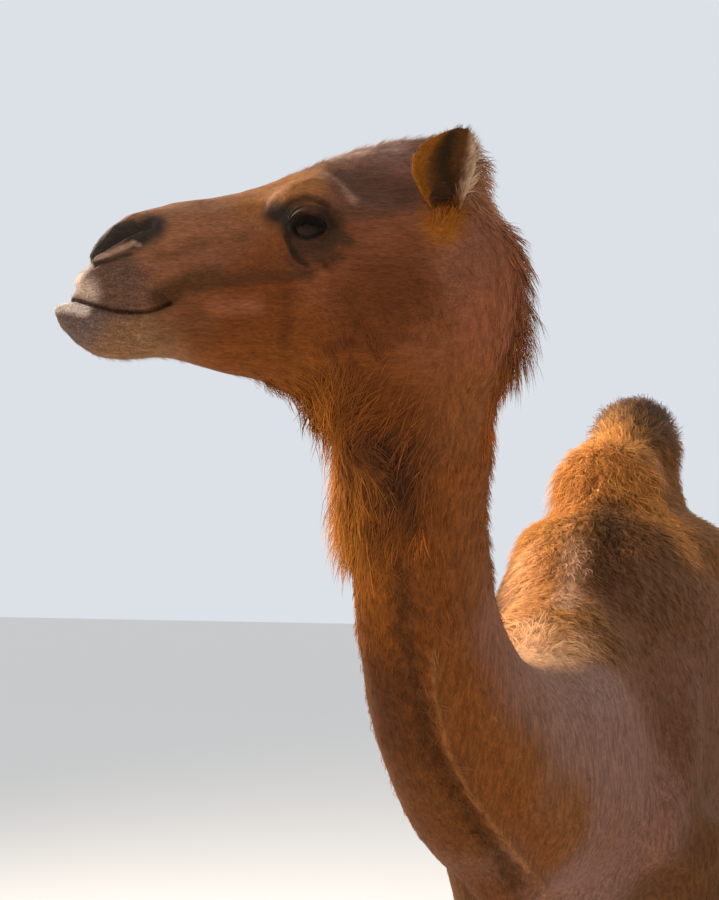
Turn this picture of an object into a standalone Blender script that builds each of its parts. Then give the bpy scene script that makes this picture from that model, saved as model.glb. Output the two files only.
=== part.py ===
"""A dromedary camel, life size, standing with its neck raised and its head turned to its right.

The body is one form: trunk, hump, neck, legs, tail and head are overlapping lofts and swellings that
a voxel remesh fuses and a smoothing softens. Thin cuts then part it where a person would name its
parts. Ears, eyes and toenails are solids of their own, each in a socket with a small gap.

Metres, +Z up. The camel's body faces -Y, so its left side is at +X, and it stands on the floor, z = 0.
"""

import math

import bmesh
import bpy
from mathutils import Matrix, Vector

# Driving dimensions
WITHERS = 1.75  # height of the withers
BACK = 1.72  # height of the back under the hump
HUMP_TOP = 2.005  # top of the hump's tuft of hair
CHEST_FRONT = -0.80  # the trunk runs along Y from the breast to the buttocks
RUMP_END = 0.835
POLL_HEIGHT = 2.04  # the head's own origin, in the middle of the skull
POLL = Vector((-0.022, -1.412, POLL_HEIGHT))
HEAD_TURN = math.radians(64.2)  # how far the head is turned to the camel's right
EYE = Vector((0.117, 0.094, 0.013))  # the left eye's centre, in the head's own axes
EYE_RADIUS = 0.0225
STRIDE = {  # how far each foot is set forward of, or behind, the square stance
    "foreleg_left": -0.045,
    "foreleg_right": 0.035,
    "hindleg_left": 0.075,
    "hindleg_right": -0.045,
}

# How the form is made
VOXEL_BODY, VOXEL_WHOLE = 0.010, 0.006
SOFTEN_BODY, SOFTEN_WHOLE = 14, 4
BODY_TRIANGLES, FEET_TRIANGLES, HEAD_TRIANGLES = 2200, 540, 1560
GAP = 0.0006  # between parts that meet
SIDES = {"left": 1, "right": -1}

COATS = {  # name: colour, roughness
    "tawny_coat": ((0.30, 0.135, 0.055, 1), 0.85),
    "hump_coat": ((0.42, 0.21, 0.095, 1), 0.9),
    "muzzle_skin": ((0.20, 0.12, 0.085, 1), 0.75),
    "ear_coat": ((0.22, 0.12, 0.05, 1), 0.85),
    "eye_glass": ((0.012, 0.008, 0.006, 1), 0.05),
    "foot_pad": ((0.16, 0.11, 0.08, 1), 0.8),
    "nail_horn": ((0.07, 0.05, 0.04, 1), 0.4),
}


# Collections, materials and small helpers


def start_scene():
    for obj in list(bpy.data.objects):
        bpy.data.objects.remove(obj, do_unlink=True)
    made = []
    for name in ("dromedary_camel", "cutters"):
        collection = bpy.data.collections.new(name)
        bpy.context.scene.collection.children.link(collection)
        made.append(collection)
    made[1].hide_render = True
    return made


def material(name):
    found = bpy.data.materials.get(name)
    if found:
        return found
    colour, roughness = COATS[name]
    made = bpy.data.materials.new(name)
    made.use_nodes = True
    shader = made.node_tree.nodes["Principled BSDF"]
    shader.inputs["Base Color"].default_value = colour
    shader.inputs["Roughness"].default_value = roughness
    shader.inputs["Metallic"].default_value = 0.0
    return made


def add_object(name, mesh, collection, helper=False):
    obj = bpy.data.objects.new(name, mesh)
    collection.objects.link(obj)
    if helper:
        obj.hide_render = True
        obj.display_type = "WIRE"
    return obj


def mesh_from(bm, name):
    bmesh.ops.triangulate(bm, faces=bm.faces)
    mesh = bpy.data.meshes.new(name)
    bm.to_mesh(mesh)
    bm.free()
    return mesh


def finished(obj):
    """The object's mesh with its modifiers worked in. The object itself goes."""
    bpy.context.view_layer.update()
    mesh = bpy.data.meshes.new_from_object(obj.evaluated_get(bpy.context.evaluated_depsgraph_get()))
    bpy.data.objects.remove(obj)
    return mesh


def through(rows, t):
    """The numbers at t along rows, on a smooth curve through every row (t = 1 is the second row)."""
    last = len(rows) - 1
    i = min(int(t), last - 1)
    before, a, b, after = (rows[max(0, min(last, k))] for k in (i - 1, i, i + 1, i + 2))
    u = t - i
    return [
        0.5 * (2 * q + (r - p) * u + (2 * p - 5 * q + 4 * r - s) * u * u + (3 * q - p - 3 * r + s) * u**3)
        for p, q, r, s in zip(before, a, b, after)
    ]


def loft(rows, axes, around=36, steps=5):
    """A closed surface through cross-sections. A row is the section's centre x, y, z, its half width,
    how far it reaches up and down, and its squareness: 2 is an ellipse and more is boxier.
    axes is (lateral, up), or a function of t that returns them."""
    bm = bmesh.new()
    rings = []
    for i in range((len(rows) - 1) * steps + 1):
        t = i / steps
        x, y, z, half, up, down, square = through(rows, t)
        lateral, rise = axes(t) if callable(axes) else axes
        ring = []
        for k in range(around):
            c, s = math.cos(math.tau * k / around), math.sin(math.tau * k / around)
            across = half * math.copysign(abs(c) ** (2 / square), c)
            along = (up if s > 0 else down) * math.copysign(abs(s) ** (2 / square), s)
            ring.append(bm.verts.new(Vector((x, y, z)) + lateral * across + rise * along))
        rings.append(ring)
    for one, two in zip(rings, rings[1:]):
        for k in range(around):
            n = (k + 1) % around
            bm.faces.new((one[k], one[n], two[n], two[k]))
    bm.faces.new(rings[0])
    bm.faces.new(rings[-1])
    bmesh.ops.recalc_face_normals(bm, faces=bm.faces)
    return bm


def swelling(centre, radii, turn=(0, 0, 0), around=28):
    """An ellipsoid, turned by degrees about X, Y and Z, that fuses into the form as a muscle or a pad."""
    bm = bmesh.new()
    bmesh.ops.create_uvsphere(bm, u_segments=around, v_segments=around // 2 + 1, radius=1.0)
    for k, axis in enumerate("XYZ"):
        if k == 0:
            bmesh.ops.scale(bm, vec=radii, verts=bm.verts)
        bmesh.ops.rotate(bm, matrix=Matrix.Rotation(math.radians(turn[k]), 3, axis), verts=bm.verts)
    bmesh.ops.translate(bm, vec=centre, verts=bm.verts)
    return bm


def strut(start, end, thick_start, thick_end, flat=1.0):
    """A tapering round bar between two points, which bulges a little and can be flattened sideways."""
    start, end = Vector(start), Vector(end)
    run = end - start
    lateral = (Vector((1, 0, 0)) - run * (run.x / run.length_squared)).normalized()
    rise = run.normalized().cross(lateral)
    rows = []
    for share, swell in ((-0.08, 0.35), (0.0, 0.8), (0.3, 1.05), (0.7, 1.05), (1.0, 0.8), (1.08, 0.35)):
        point = start + run * share
        thick = swell * (thick_start + (thick_end - thick_start) * max(0, min(1, share)))
        rows.append((*point, thick * flat, thick, thick, 2.0))
    return loft(rows, (lateral, rise), around=24, steps=3)


def fused(name, solids, voxel, rounds, collection):
    """One surface round all the solids, softened. Returns a plain mesh."""
    whole = bmesh.new()
    for bm in solids:
        part = mesh_from(bm, name + "_solid")
        whole.from_mesh(part)
        bpy.data.meshes.remove(part)
    obj = add_object(name, mesh_from(whole, name), collection, helper=True)
    remesh = obj.modifiers.new("fuse", "REMESH")
    remesh.mode = "VOXEL"
    remesh.voxel_size = voxel
    soften = obj.modifiers.new("soften", "SMOOTH")
    soften.factor = 0.5
    soften.iterations = rounds
    return finished(obj)


# Trunk, hump and tail


def trunk_solids():
    # y, top, widest height, bottom, half width, squareness
    ribs = [
        (CHEST_FRONT, 1.34, 1.22, 1.11, 0.050, 2.0),
        (-0.75, 1.45, 1.25, 1.06, 0.115, 2.1),
        (-0.65, 1.58, 1.29, 1.01, 0.180, 2.2),
        (-0.50, 1.690, 1.33, 0.975, 0.215, 2.2),
        (-0.34, WITHERS - 0.005, 1.35, 0.950, 0.244, 2.3),
        (-0.12, WITHERS - 0.015, 1.35, 0.945, 0.276, 2.4),
        (0.12, BACK, 1.345, 0.985, 0.292, 2.4),
        (0.32, BACK - 0.025, 1.36, 1.060, 0.276, 2.3),
        (0.49, 1.665, 1.39, 1.155, 0.242, 2.2),
        (0.63, 1.605, 1.38, 1.200, 0.216, 2.1),
        (0.75, 1.515, 1.34, 1.205, 0.162, 2.0),
        (RUMP_END, 1.410, 1.31, 1.225, 0.070, 2.0),
    ]
    rows = [(0, y, mid, half, top - mid, mid - low, sq) for y, top, mid, low, half, sq in ribs]
    solids = [loft(rows, (Vector((1, 0, 0)), Vector((0, 0, 1))))]
    solids.append(swelling((0, -0.30, 0.955), (0.085, 0.115, 0.045)))  # pad under the breastbone
    solids.append(swelling((0, -0.70, 1.16), (0.085, 0.11, 0.13)))  # breast
    solids.append(swelling((0, -0.36, WITHERS - 0.07), (0.075, 0.16, 0.07)))  # withers
    for side in SIDES.values():
        # the shoulder blade, the arm, the point of the shoulder, the hip and the seat
        solids.append(strut((side * 0.120, -0.33, 1.60), (side * 0.185, -0.60, 1.24), 0.105, 0.095, 0.62))
        solids.append(strut((side * 0.185, -0.60, 1.20), (side * 0.185, -0.40, 1.06), 0.085, 0.085, 0.75))
        solids.append(swelling((side * 0.172, -0.645, 1.205), (0.052, 0.062, 0.085)))
        solids.append(swelling((side * 0.142, 0.50, 1.560), (0.062, 0.095, 0.060), (0, side * 25, 0)))
        solids.append(swelling((side * 0.105, 0.75, 1.36), (0.075, 0.075, 0.125)))
    return solids


def hump_solids():
    # y, top, base, half width at the base, squareness: narrow and steep, with a tuft on the crest
    crest = [
        (-0.33, BACK + 0.035, 0.060, 2.0),
        (-0.26, BACK + 0.085, 0.095, 2.0),
        (-0.16, BACK + 0.165, 0.122, 2.1),
        (-0.05, BACK + 0.225, 0.130, 2.2),
        (0.06, BACK + 0.245, 0.132, 2.2),
        (0.17, BACK + 0.195, 0.112, 2.1),
        (0.28, BACK + 0.100, 0.098, 2.0),
        (0.37, BACK + 0.030, 0.075, 2.0),
    ]
    base = BACK - 0.10
    rows = [(-0.008, y, base, half, top - base, 0.05, sq) for y, top, half, sq in crest]
    solids = [loft(rows, (Vector((1, 0, 0)), Vector((0, 0, 1))))]
    solids.append(swelling((-0.02, -0.13, BACK + 0.085), (0.120, 0.12, 0.105)))  # front of the hump
    solids.append(swelling((0.008, 0.03, HUMP_TOP - 0.118), (0.100, 0.135, 0.120)))  # tuft on the crest
    solids.append(swelling((-0.006, -0.02, BACK - 0.055), (0.232, 0.38, 0.108)))  # its broad foot on the back
    return solids


def tail_solids():
    # x, y, z, half width, back, front
    bones = [
        (0.000, 0.775, 1.470, 0.050, 0.050, 0.040),
        (0.000, 0.835, 1.425, 0.044, 0.042, 0.036),
        (0.000, 0.877, 1.330, 0.034, 0.032, 0.030),
        (0.002, 0.897, 1.210, 0.026, 0.025, 0.024),
        (0.005, 0.901, 1.080, 0.024, 0.024, 0.022),
        (0.008, 0.897, 0.980, 0.032, 0.030, 0.028),
        (0.010, 0.891, 0.880, 0.034, 0.032, 0.030),
        (0.012, 0.885, 0.790, 0.012, 0.012, 0.012),
    ]
    rows = [(*bone, 2.0) for bone in bones]
    return [loft(rows, (Vector((1, 0, 0)), Vector((0, 1, 0))), around=24)]


# Neck

# x, y, z, half width, reach to the nape, reach to the throat, squareness, and the turn from the
# body's heading to the head's, in degrees
NECK = [
    (0.000, -0.430, 1.430, 0.155, 0.225, 0.250, 2.0, 0),
    (-0.002, -0.660, 1.375, 0.168, 0.215, 0.262, 2.1, 0),
    (-0.017, -0.815, 1.340, 0.160, 0.190, 0.236, 2.15, 0),
    (-0.036, -0.950, 1.350, 0.142, 0.163, 0.205, 2.15, 5),
    (-0.052, -1.080, 1.425, 0.116, 0.138, 0.164, 2.1, 13),
    (-0.057, -1.190, 1.535, 0.095, 0.118, 0.130, 2.1, 24),
    (-0.046, -1.268, 1.640, 0.083, 0.104, 0.110, 2.1, 36),
    (-0.032, -1.325, 1.740, 0.079, 0.100, 0.110, 2.1, 47),
    (-0.014, -1.360, 1.850, 0.080, 0.112, 0.128, 2.1, 56),
    (0.012, -1.372, 1.950, 0.083, 0.124, 0.132, 2.1, 62),
    (0.035, -1.375, 2.040, 0.072, 0.100, 0.100, 2.0, 64),
]


def neck_axes(t):
    """Lateral and nape directions of the neck at t, square to its axis and twisting with the head."""
    step = 0.01
    ahead, behind = (Vector(through(NECK, min(max(t + s, 0), len(NECK) - 1))[:3]) for s in (step, -step))
    tangent = (ahead - behind).normalized()
    turn = math.radians(through(NECK, t)[7])
    nape = Vector((math.sin(turn), math.cos(turn), 1.0))
    nape = (nape - tangent * nape.dot(tangent)).normalized()
    return tangent.cross(nape), nape


def neck_solids():
    rows = [row[:7] for row in NECK]
    solids = [loft(rows, neck_axes, steps=6)]
    solids.append(swelling((-0.020, -0.88, 1.195), (0.095, 0.150, 0.070), (24, 0, 0)))  # lower curve of the neck
    return solids


# Legs

# z, x from the middle, y, half width, reach forward, reach back: from inside the trunk to the pastern
FORELEG = [
    (1.20, 0.192, -0.530, 0.078, 0.110, 0.125),
    (1.08, 0.188, -0.490, 0.084, 0.115, 0.115),
    (0.98, 0.180, -0.472, 0.078, 0.098, 0.096),
    (0.86, 0.168, -0.462, 0.064, 0.077, 0.076),
    (0.72, 0.158, -0.456, 0.051, 0.059, 0.057),
    (0.60, 0.156, -0.460, 0.049, 0.053, 0.050),
    (0.53, 0.156, -0.463, 0.056, 0.060, 0.054),
    (0.46, 0.156, -0.460, 0.050, 0.054, 0.050),
    (0.39, 0.157, -0.455, 0.037, 0.041, 0.042),
    (0.28, 0.158, -0.452, 0.034, 0.037, 0.041),
    (0.19, 0.159, -0.455, 0.042, 0.044, 0.052),
    (0.12, 0.160, -0.475, 0.050, 0.052, 0.050),
    (0.05, 0.160, -0.490, 0.060, 0.060, 0.060),
]
HINDLEG = [
    (1.46, 0.155, 0.550, 0.080, 0.160, 0.150),
    (1.31, 0.168, 0.525, 0.098, 0.180, 0.165),
    (1.17, 0.165, 0.490, 0.092, 0.150, 0.140),
    (1.05, 0.156, 0.500, 0.078, 0.115, 0.108),
    (0.93, 0.148, 0.540, 0.062, 0.084, 0.076),
    (0.81, 0.141, 0.592, 0.050, 0.062, 0.056),
    (0.70, 0.138, 0.636, 0.043, 0.050, 0.052),
    (0.62, 0.137, 0.662, 0.046, 0.055, 0.056),
    (0.53, 0.137, 0.665, 0.041, 0.048, 0.047),
    (0.42, 0.138, 0.656, 0.034, 0.037, 0.039),
    (0.28, 0.140, 0.642, 0.033, 0.036, 0.040),
    (0.19, 0.143, 0.635, 0.040, 0.042, 0.050),
    (0.12, 0.145, 0.618, 0.047, 0.049, 0.048),
    (0.05, 0.145, 0.605, 0.055, 0.055, 0.055),
]
FOREFOOT = {"length": 0.215, "width": 0.190, "centre": -0.515}
HINDFOOT = {"length": 0.190, "width": 0.160, "centre": 0.580}


def leg_solids(name, stations, foot):
    """A leg and its two-toed foot. The stride leans the leg from its top to the floor."""
    side = SIDES[name.split("_")[1]]
    top = stations[0][0]
    rows = []
    for z, x, y, half, front, back in stations:
        lean = STRIDE[name] * min(1, (top - z) / (top - 0.1))
        rows.append((side * x, y + lean, z, half, front, back, 2.1))
    solids = [loft(rows, (Vector((1, 0, 0)), Vector((0, -1, 0))), around=28)]
    x, y = side * stations[-1][1], foot["centre"] + STRIDE[name]
    long, wide = foot["length"] / 2, foot["width"] / 2
    solids.append(swelling((x, y + 0.012, 0.022), (wide * 0.93, long * 0.90, 0.040)))  # the cushion
    for toe in (-1, 1):
        place = (x + toe * wide * 0.47, y - long * 0.30, 0.030)
        solids.append(swelling(place, (wide * 0.50, long * 0.68, 0.046), (-6, 0, -toe * 7)))
    solids.append(swelling((x, y + long * 0.30, 0.070), (wide * 0.62, long * 0.52, 0.062)))  # heel
    if name.startswith("foreleg"):
        knee_y = through(rows, 6)[1]
        solids.append(swelling((side * 0.156, knee_y - 0.030, 0.520), (0.040, 0.032, 0.055)))  # knee pad
        solids.append(swelling((side * 0.172, -0.395, 1.045), (0.052, 0.060, 0.065)))  # elbow
    else:
        hock_y = through(rows, 7)[1]
        solids.append(swelling((side * 0.137, hock_y + 0.040, 0.668), (0.024, 0.028, 0.050)))  # heel bone
        solids.append(swelling((side * 0.168, 0.378, 1.140), (0.062, 0.062, 0.085)))  # stifle
        solids.append(strut((side * 0.150, 0.680, 1.34), (side * 0.140, 0.610, 0.96), 0.085, 0.045, 0.7))
    return solids


# Head, in its own axes: X to the nose, Y to its left, Z up, and the origin in the middle of the skull

# x, top, widest height, bottom, half width, squareness
SKULL = [
    (-0.120, 0.060, 0.000, -0.085, 0.040, 2.0),
    (-0.100, 0.102, 0.002, -0.115, 0.064, 2.0),
    (-0.065, 0.131, 0.005, -0.132, 0.082, 2.0),
    (-0.020, 0.141, 0.005, -0.140, 0.090, 2.0),
    (0.030, 0.141, 0.004, -0.140, 0.093, 2.0),
    (0.075, 0.129, 0.004, -0.130, 0.092, 2.0),
    (0.115, 0.112, 0.000, -0.120, 0.086, 2.0),
    (0.155, 0.095, -0.006, -0.110, 0.074, 2.0),
    (0.205, 0.078, -0.014, -0.100, 0.060, 2.05),
    (0.255, 0.070, -0.022, -0.092, 0.052, 2.1),
    (0.300, 0.061, -0.028, -0.085, 0.048, 2.2),
    (0.340, 0.049, -0.030, -0.080, 0.048, 2.3),
    (0.368, 0.030, -0.026, -0.076, 0.045, 2.3),
    (0.386, 0.008, -0.026, -0.070, 0.038, 2.2),
    (0.396, -0.008, -0.030, -0.060, 0.022, 2.0),
]
JAW = [
    (-0.060, -0.040, -0.095, -0.145, 0.050, 2.0),
    (-0.030, -0.040, -0.105, -0.166, 0.070, 2.1),
    (0.015, -0.045, -0.108, -0.174, 0.075, 2.1),
    (0.065, -0.050, -0.110, -0.174, 0.069, 2.1),
    (0.115, -0.055, -0.110, -0.172, 0.060, 2.1),
    (0.165, -0.060, -0.110, -0.168, 0.052, 2.1),
    (0.215, -0.065, -0.108, -0.161, 0.046, 2.1),
    (0.260, -0.070, -0.104, -0.149, 0.042, 2.1),
    (0.295, -0.074, -0.104, -0.139, 0.041, 2.1),
    (0.330, -0.078, -0.106, -0.142, 0.044, 2.2),
    (0.362, -0.076, -0.104, -0.143, 0.045, 2.2),
    (0.388, -0.070, -0.098, -0.136, 0.043, 2.2),
    (0.410, -0.064, -0.090, -0.121, 0.037, 2.1),
    (0.428, -0.064, -0.082, -0.102, 0.026, 2.0),
    (0.437, -0.069, -0.078, -0.088, 0.012, 2.0),
]


def head_place():
    """From the head's own axes to the camel's: turned from straight ahead to the right."""
    return Matrix.Translation(POLL) @ Matrix.Rotation(-math.pi / 2 - HEAD_TURN, 4, "Z")


def head_solids():
    axes = (Vector((0, 1, 0)), Vector((0, 0, 1)))
    solids = []
    for table in (SKULL, JAW):
        rows = [(x, 0, mid, half, top - mid, mid - low, sq) for x, top, mid, low, half, sq in table]
        solids.append(loft(rows, axes, steps=4))
    for side in SIDES.values():
        ball = Vector((EYE.x, side * EYE.y, EYE.z))
        masses = [
            ((0.020, side * 0.048, -0.062), (0.088, 0.046, 0.092), (0, 0, 0)),  # chewing muscle
            ((0.085, side * 0.055, -0.030), (0.085, 0.046, 0.036), (0, 10, 0)),  # cheek bone under the eye
            ((0.190, side * 0.040, -0.050), (0.100, 0.022, 0.024), (0, 6, 0)),  # crest of the face
            ((ball.x, ball.y - side * 0.026, ball.z), (0.040, 0.040, 0.036), (0, 0, 0)),  # rim of the orbit
            ((0.116, side * 0.074, 0.050), (0.048, 0.032, 0.026), (side * 24, 12, 0)),  # brow
            ((0.352, side * 0.022, -0.048), (0.053, 0.031, 0.029), (0, 3, -side * 6)),  # half of the split lip
            ((0.352, side * 0.027, -0.004), (0.040, 0.019, 0.022), (0, 22, -side * 12)),  # nostril's wing
            ((-0.046, side * 0.074, 0.045), (0.036, 0.030, 0.040), (0, 0, 0)),  # root of the ear
            ((0.300, side * 0.030, -0.098), (0.050, 0.020, 0.024), (0, 0, 0)),  # corner of the mouth
        ]
        solids += [swelling(*mass) for mass in masses]
    solids.append(swelling((-0.030, 0, 0.112), (0.085, 0.050, 0.040)))  # crown
    solids.append(swelling((-0.112, 0, -0.075), (0.048, 0.060, 0.125), (0, -14, 0)))  # tuft on the nape
    solids.append(swelling((0.125, 0, -0.166), (0.055, 0.030, 0.026), (0, -16, 0)))  # beard under the jaw
    for bm in solids:
        bmesh.ops.transform(bm, matrix=head_place(), verts=bm.verts)
    return solids


def whole_form(cutters):
    """The whole animal as one closed surface, finest on the head and feet."""
    body = trunk_solids() + hump_solids() + neck_solids() + tail_solids()
    for name in STRIDE:
        front = name.startswith("foreleg")
        body += leg_solids(name, FORELEG if front else HINDLEG, FOREFOOT if front else HINDFOOT)
    softened = fused("body", body, VOXEL_BODY, SOFTEN_BODY, cutters)
    solids = [bmesh.new()]
    solids[0].from_mesh(softened)
    mesh = fused("whole", solids + head_solids(), VOXEL_WHOLE, SOFTEN_WHOLE, cutters)
    for place, target in (("body", BODY_TRIANGLES), ("foot", FEET_TRIANGLES), ("head", HEAD_TRIANGLES)):
        mesh = thinned(mesh, place, target, cutters)
    return mesh


def place_of(point):
    if (point - POLL).length < 0.50 and point.z > 1.82:
        return "head"
    return "foot" if point.z < 0.10 else "body"


def thinned(mesh, place, target, cutters):
    """The mesh with one place brought down to a number of triangles and the others left alone."""
    obj = add_object("whole", mesh, cutters, helper=True)
    group = obj.vertex_groups.new(name=place)
    here = {vertex.index for vertex in mesh.vertices if place_of(vertex.co) == place}
    group.add(list(here), 1.0, "REPLACE")
    triangles = [sum(len(face.vertices) - 2 for face in mesh.polygons)]
    triangles.append(sum(len(face.vertices) - 2 for face in mesh.polygons if face.vertices[0] in here))
    thin = obj.modifiers.new("thin", "DECIMATE")
    thin.ratio = (triangles[0] - triangles[1] + target) / triangles[0]
    thin.vertex_group = place
    return finished(obj)


# Parting the form


def block(profile, span, place=Matrix(), axis="Y"):
    """A straight-sided region: a closed profile square to an axis, from one end of span to the other."""
    bm = bmesh.new()
    corners = []
    for a, b in profile:
        corners.append(bm.verts.new((a, span[0], b) if axis == "Y" else (span[0], a, b)))
    made = bmesh.ops.extrude_face_region(bm, geom=[bm.faces.new(corners)])
    moved = [part for part in made["geom"] if isinstance(part, bmesh.types.BMVert)]
    reach = span[1] - span[0]
    bmesh.ops.translate(bm, vec=(0, reach, 0) if axis == "Y" else (reach, 0, 0), verts=moved)
    bmesh.ops.transform(bm, matrix=place, verts=bm.verts)
    bmesh.ops.recalc_face_normals(bm, faces=bm.faces)
    return bm


def hull(points):
    bm = bmesh.new()
    for point in points:
        bm.verts.new(point)
    made = bmesh.ops.convex_hull(bm, input=bm.verts)
    bmesh.ops.delete(bm, geom=made["geom_interior"] + made["geom_unused"], context="VERTS")
    bmesh.ops.recalc_face_normals(bm, faces=bm.faces)
    return bm


def leg_region(side, front):
    """What belongs to a leg: everything under a slope that climbs outwards from the arm pit or groin."""
    if front:
        inner = ((-0.72, 0.885), (-0.29, 0.885), (-0.29, -0.1), (-0.72, -0.1))
        outer = ((-0.72, 1.165), (-0.29, 1.165), (-0.29, -0.1), (-0.72, -0.1))
    else:
        inner = ((0.28, 1.06), (0.42, 1.10), (0.64, 1.12), (0.83, 1.10), (0.83, -0.1), (0.28, -0.1))
        outer = ((0.26, 1.16), (0.40, 1.34), (0.62, 1.41), (0.83, 1.34), (0.83, -0.1), (0.26, -0.1))
    points = [(side * 0.02, y, z) for y, z in inner] + [(side * 0.45, y, z) for y, z in outer]
    return hull(points)


def under(height):
    return block(((-1, -1), (1, -1), (1, height), (-1, height)), (-2, 2))


def combined(mesh, tool_mesh, operation, grow=0.0):
    cutters = bpy.data.collections["cutters"]
    obj = add_object("worked", mesh.copy(), cutters, helper=True)
    tool = add_object("tool", tool_mesh.copy(), cutters, helper=True)
    if grow:
        swell = tool.modifiers.new("grow", "DISPLACE")
        swell.mid_level = 0.0
        swell.strength = grow
    cut = obj.modifiers.new("cut", "BOOLEAN")
    cut.operation = operation
    cut.solver = "EXACT"
    cut.object = tool
    made = finished(obj)
    bpy.data.objects.remove(tool)
    return made


def part_off(rest, region):
    """What lies inside the region, and what is left outside it with a gap between the two."""
    tool = mesh_from(region, "region")
    return combined(rest, tool, "INTERSECT"), combined(rest, tool, "DIFFERENCE", grow=GAP)


HEAD_PROFILE = (
    (-0.138, 0.30),
    (-0.138, 0.030),
    (-0.040, -0.180),
    (0.088, -0.190),
    (0.240, -0.300),
    (0.600, -0.300),
    (0.600, 0.300),
)
JAW_PROFILE = (  # along the rim of the lower lip and the line of the mouth, then back through the cheek
    (0.600, -0.045),
    (0.406, -0.045),
    (0.396, -0.0675),
    (0.357, -0.0755),
    (0.333, -0.0780),
    (0.300, -0.0730),
    (0.288, -0.0660),
    (0.200, -0.0820),
    (0.050, -0.1000),
    (-0.250, -0.1150),
    (-0.250, -0.3500),
    (0.600, -0.3500),
)
NECK_PROFILE = ((-0.50, 1.78), (-0.80, 1.08), (-0.85, 0.90), (-2.2, 0.90), (-2.2, 2.6), (-0.50, 2.6))
UPPER_NECK_PROFILE = ((-1.45, 1.16), (-0.83, 1.78), (-0.83, 2.6), (-2.2, 2.6), (-2.2, 1.16))
HUMP_PROFILE = ((-0.31, 2.3), (-0.31, BACK + 0.043), (0.44, BACK - 0.020), (0.50, 2.3))
TAIL_PROFILE = ((0.840, 1.60), (0.840, 1.25), (0.853, 1.18), (0.853, 0.6), (1.2, 0.6), (1.2, 1.6))
WIDE = (-0.6, 0.6)


def parted(form):
    """Every fleshy part by name, cut from the whole."""
    parts = {}
    floor = mesh_from(under(0.0), "floor")
    rest = combined(form, floor, "DIFFERENCE")
    whole_head, rest = part_off(rest, block(HEAD_PROFILE, WIDE, head_place()))
    parts["lower_jaw"], parts["head"] = part_off(whole_head, block(JAW_PROFILE, WIDE, head_place()))
    neck, rest = part_off(rest, block(NECK_PROFILE, WIDE, axis="X"))
    parts["neck_upper"], parts["neck_lower"] = part_off(neck, block(UPPER_NECK_PROFILE, WIDE, axis="X"))
    parts["hump"], rest = part_off(rest, block(HUMP_PROFILE, WIDE, axis="X"))
    parts["tail"], rest = part_off(rest, block(TAIL_PROFILE, WIDE, axis="X"))
    for name in STRIDE:
        front = name.startswith("foreleg")
        foot_name = name.replace("leg", "foot")
        leg, rest = part_off(rest, leg_region(SIDES[name.split("_")[1]], front))
        lower, parts[name + "_upper"] = part_off(leg, under(0.530 if front else 0.665))
        parts[foot_name], parts[name + "_lower"] = part_off(lower, under(0.135))
    parts["trunk"] = rest
    return parts


# Eyes, ears and toenails


def eye(side):
    bm = bmesh.new()
    bmesh.ops.create_uvsphere(bm, u_segments=14, v_segments=8, radius=EYE_RADIUS)
    bmesh.ops.translate(bm, vec=(EYE.x, side * EYE.y, EYE.z), verts=bm.verts)
    bmesh.ops.transform(bm, matrix=head_place(), verts=bm.verts)
    return mesh_from(bm, "eye")


def ear(side):
    """A small cupped leaf, open outwards and forwards, whose root runs into the head."""
    tall, wide, thick = 0.112, 0.0345, 0.0055
    curl_root, curl_tip = math.radians(100), math.radians(55)  # how far each half of the cup turns
    bm = bmesh.new()
    made = bmesh.ops.create_grid(bm, x_segments=6, y_segments=6, size=1.0)
    for vertex in made["verts"]:
        across, up = vertex.co.x, (vertex.co.y + 1) / 2
        tip = min(1.0, max(0.0, up - 0.30) / 0.705) ** 2.4  # 0 over the lower third, 1 at the point
        spread = max(wide * (0.62 + 0.55 * up) * math.sqrt(1 - tip), 0.004)
        curl = curl_root + (curl_tip - curl_root) * up
        along = spread * math.sin(curl * across) / math.sin(curl / 1.35)
        outwards = 0.85 * spread * (1 - math.cos(curl * across)) - 0.020 * (1 - up) - 0.016 * up**2
        vertex.co = (along - 0.0104 * (1 - up) ** 2, outwards, tall * up)
    obj = add_object("ear", mesh_from(bm, "ear"), bpy.data.collections["cutters"], helper=True)
    shell = obj.modifiers.new("thickness", "SOLIDIFY")
    shell.thickness = thick
    shell.offset = 0.0
    leaf = bmesh.new()
    leaf.from_mesh(finished(obj))
    lean = Matrix.Rotation(math.radians(-24), 4, "X") @ Matrix.Rotation(math.radians(-7), 4, "Y")
    place = Matrix.Translation((-0.034, 0.080, 0.022)) @ lean
    bmesh.ops.transform(leaf, matrix=place, verts=leaf.verts)
    if side < 0:
        bmesh.ops.scale(leaf, vec=(1, -1, 1), verts=leaf.verts)
    bmesh.ops.transform(leaf, matrix=head_place(), verts=leaf.verts)
    bmesh.ops.recalc_face_normals(leaf, faces=leaf.faces)
    return mesh_from(leaf, "ear")


def nail(name, toe):
    """A blunt nail over the tip of a toe; toe is -1 for the one on the camel's right, 1 for the left."""
    front = name.startswith("fore")
    foot, stations = (FOREFOOT, FORELEG) if front else (HINDFOOT, HINDLEG)
    leg = name.replace("foot", "leg")
    long, wide = foot["length"] / 2, foot["width"] / 2
    x = SIDES[name.split("_")[1]] * stations[-1][1] + toe * (wide * 0.47 + long * 0.085)
    y = foot["centre"] + STRIDE[leg] - long * 0.90
    return mesh_from(swelling((x, y, 0.030), (0.018, 0.019, 0.022), (-20, 0, 0), 8), "nail")


def finish(name, mesh, coat, root):
    mesh.name = name
    mesh.materials.clear()
    mesh.materials.append(material(coat))
    mesh.shade_smooth()
    obj = add_object(name, mesh, root.users_collection[0])
    obj.parent = root
    return obj


def coat_of(name):
    if name.startswith(("forefoot", "hindfoot")):
        return "foot_pad"
    return {"hump": "hump_coat", "lower_jaw": "muzzle_skin"}.get(name, "tawny_coat")


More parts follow.
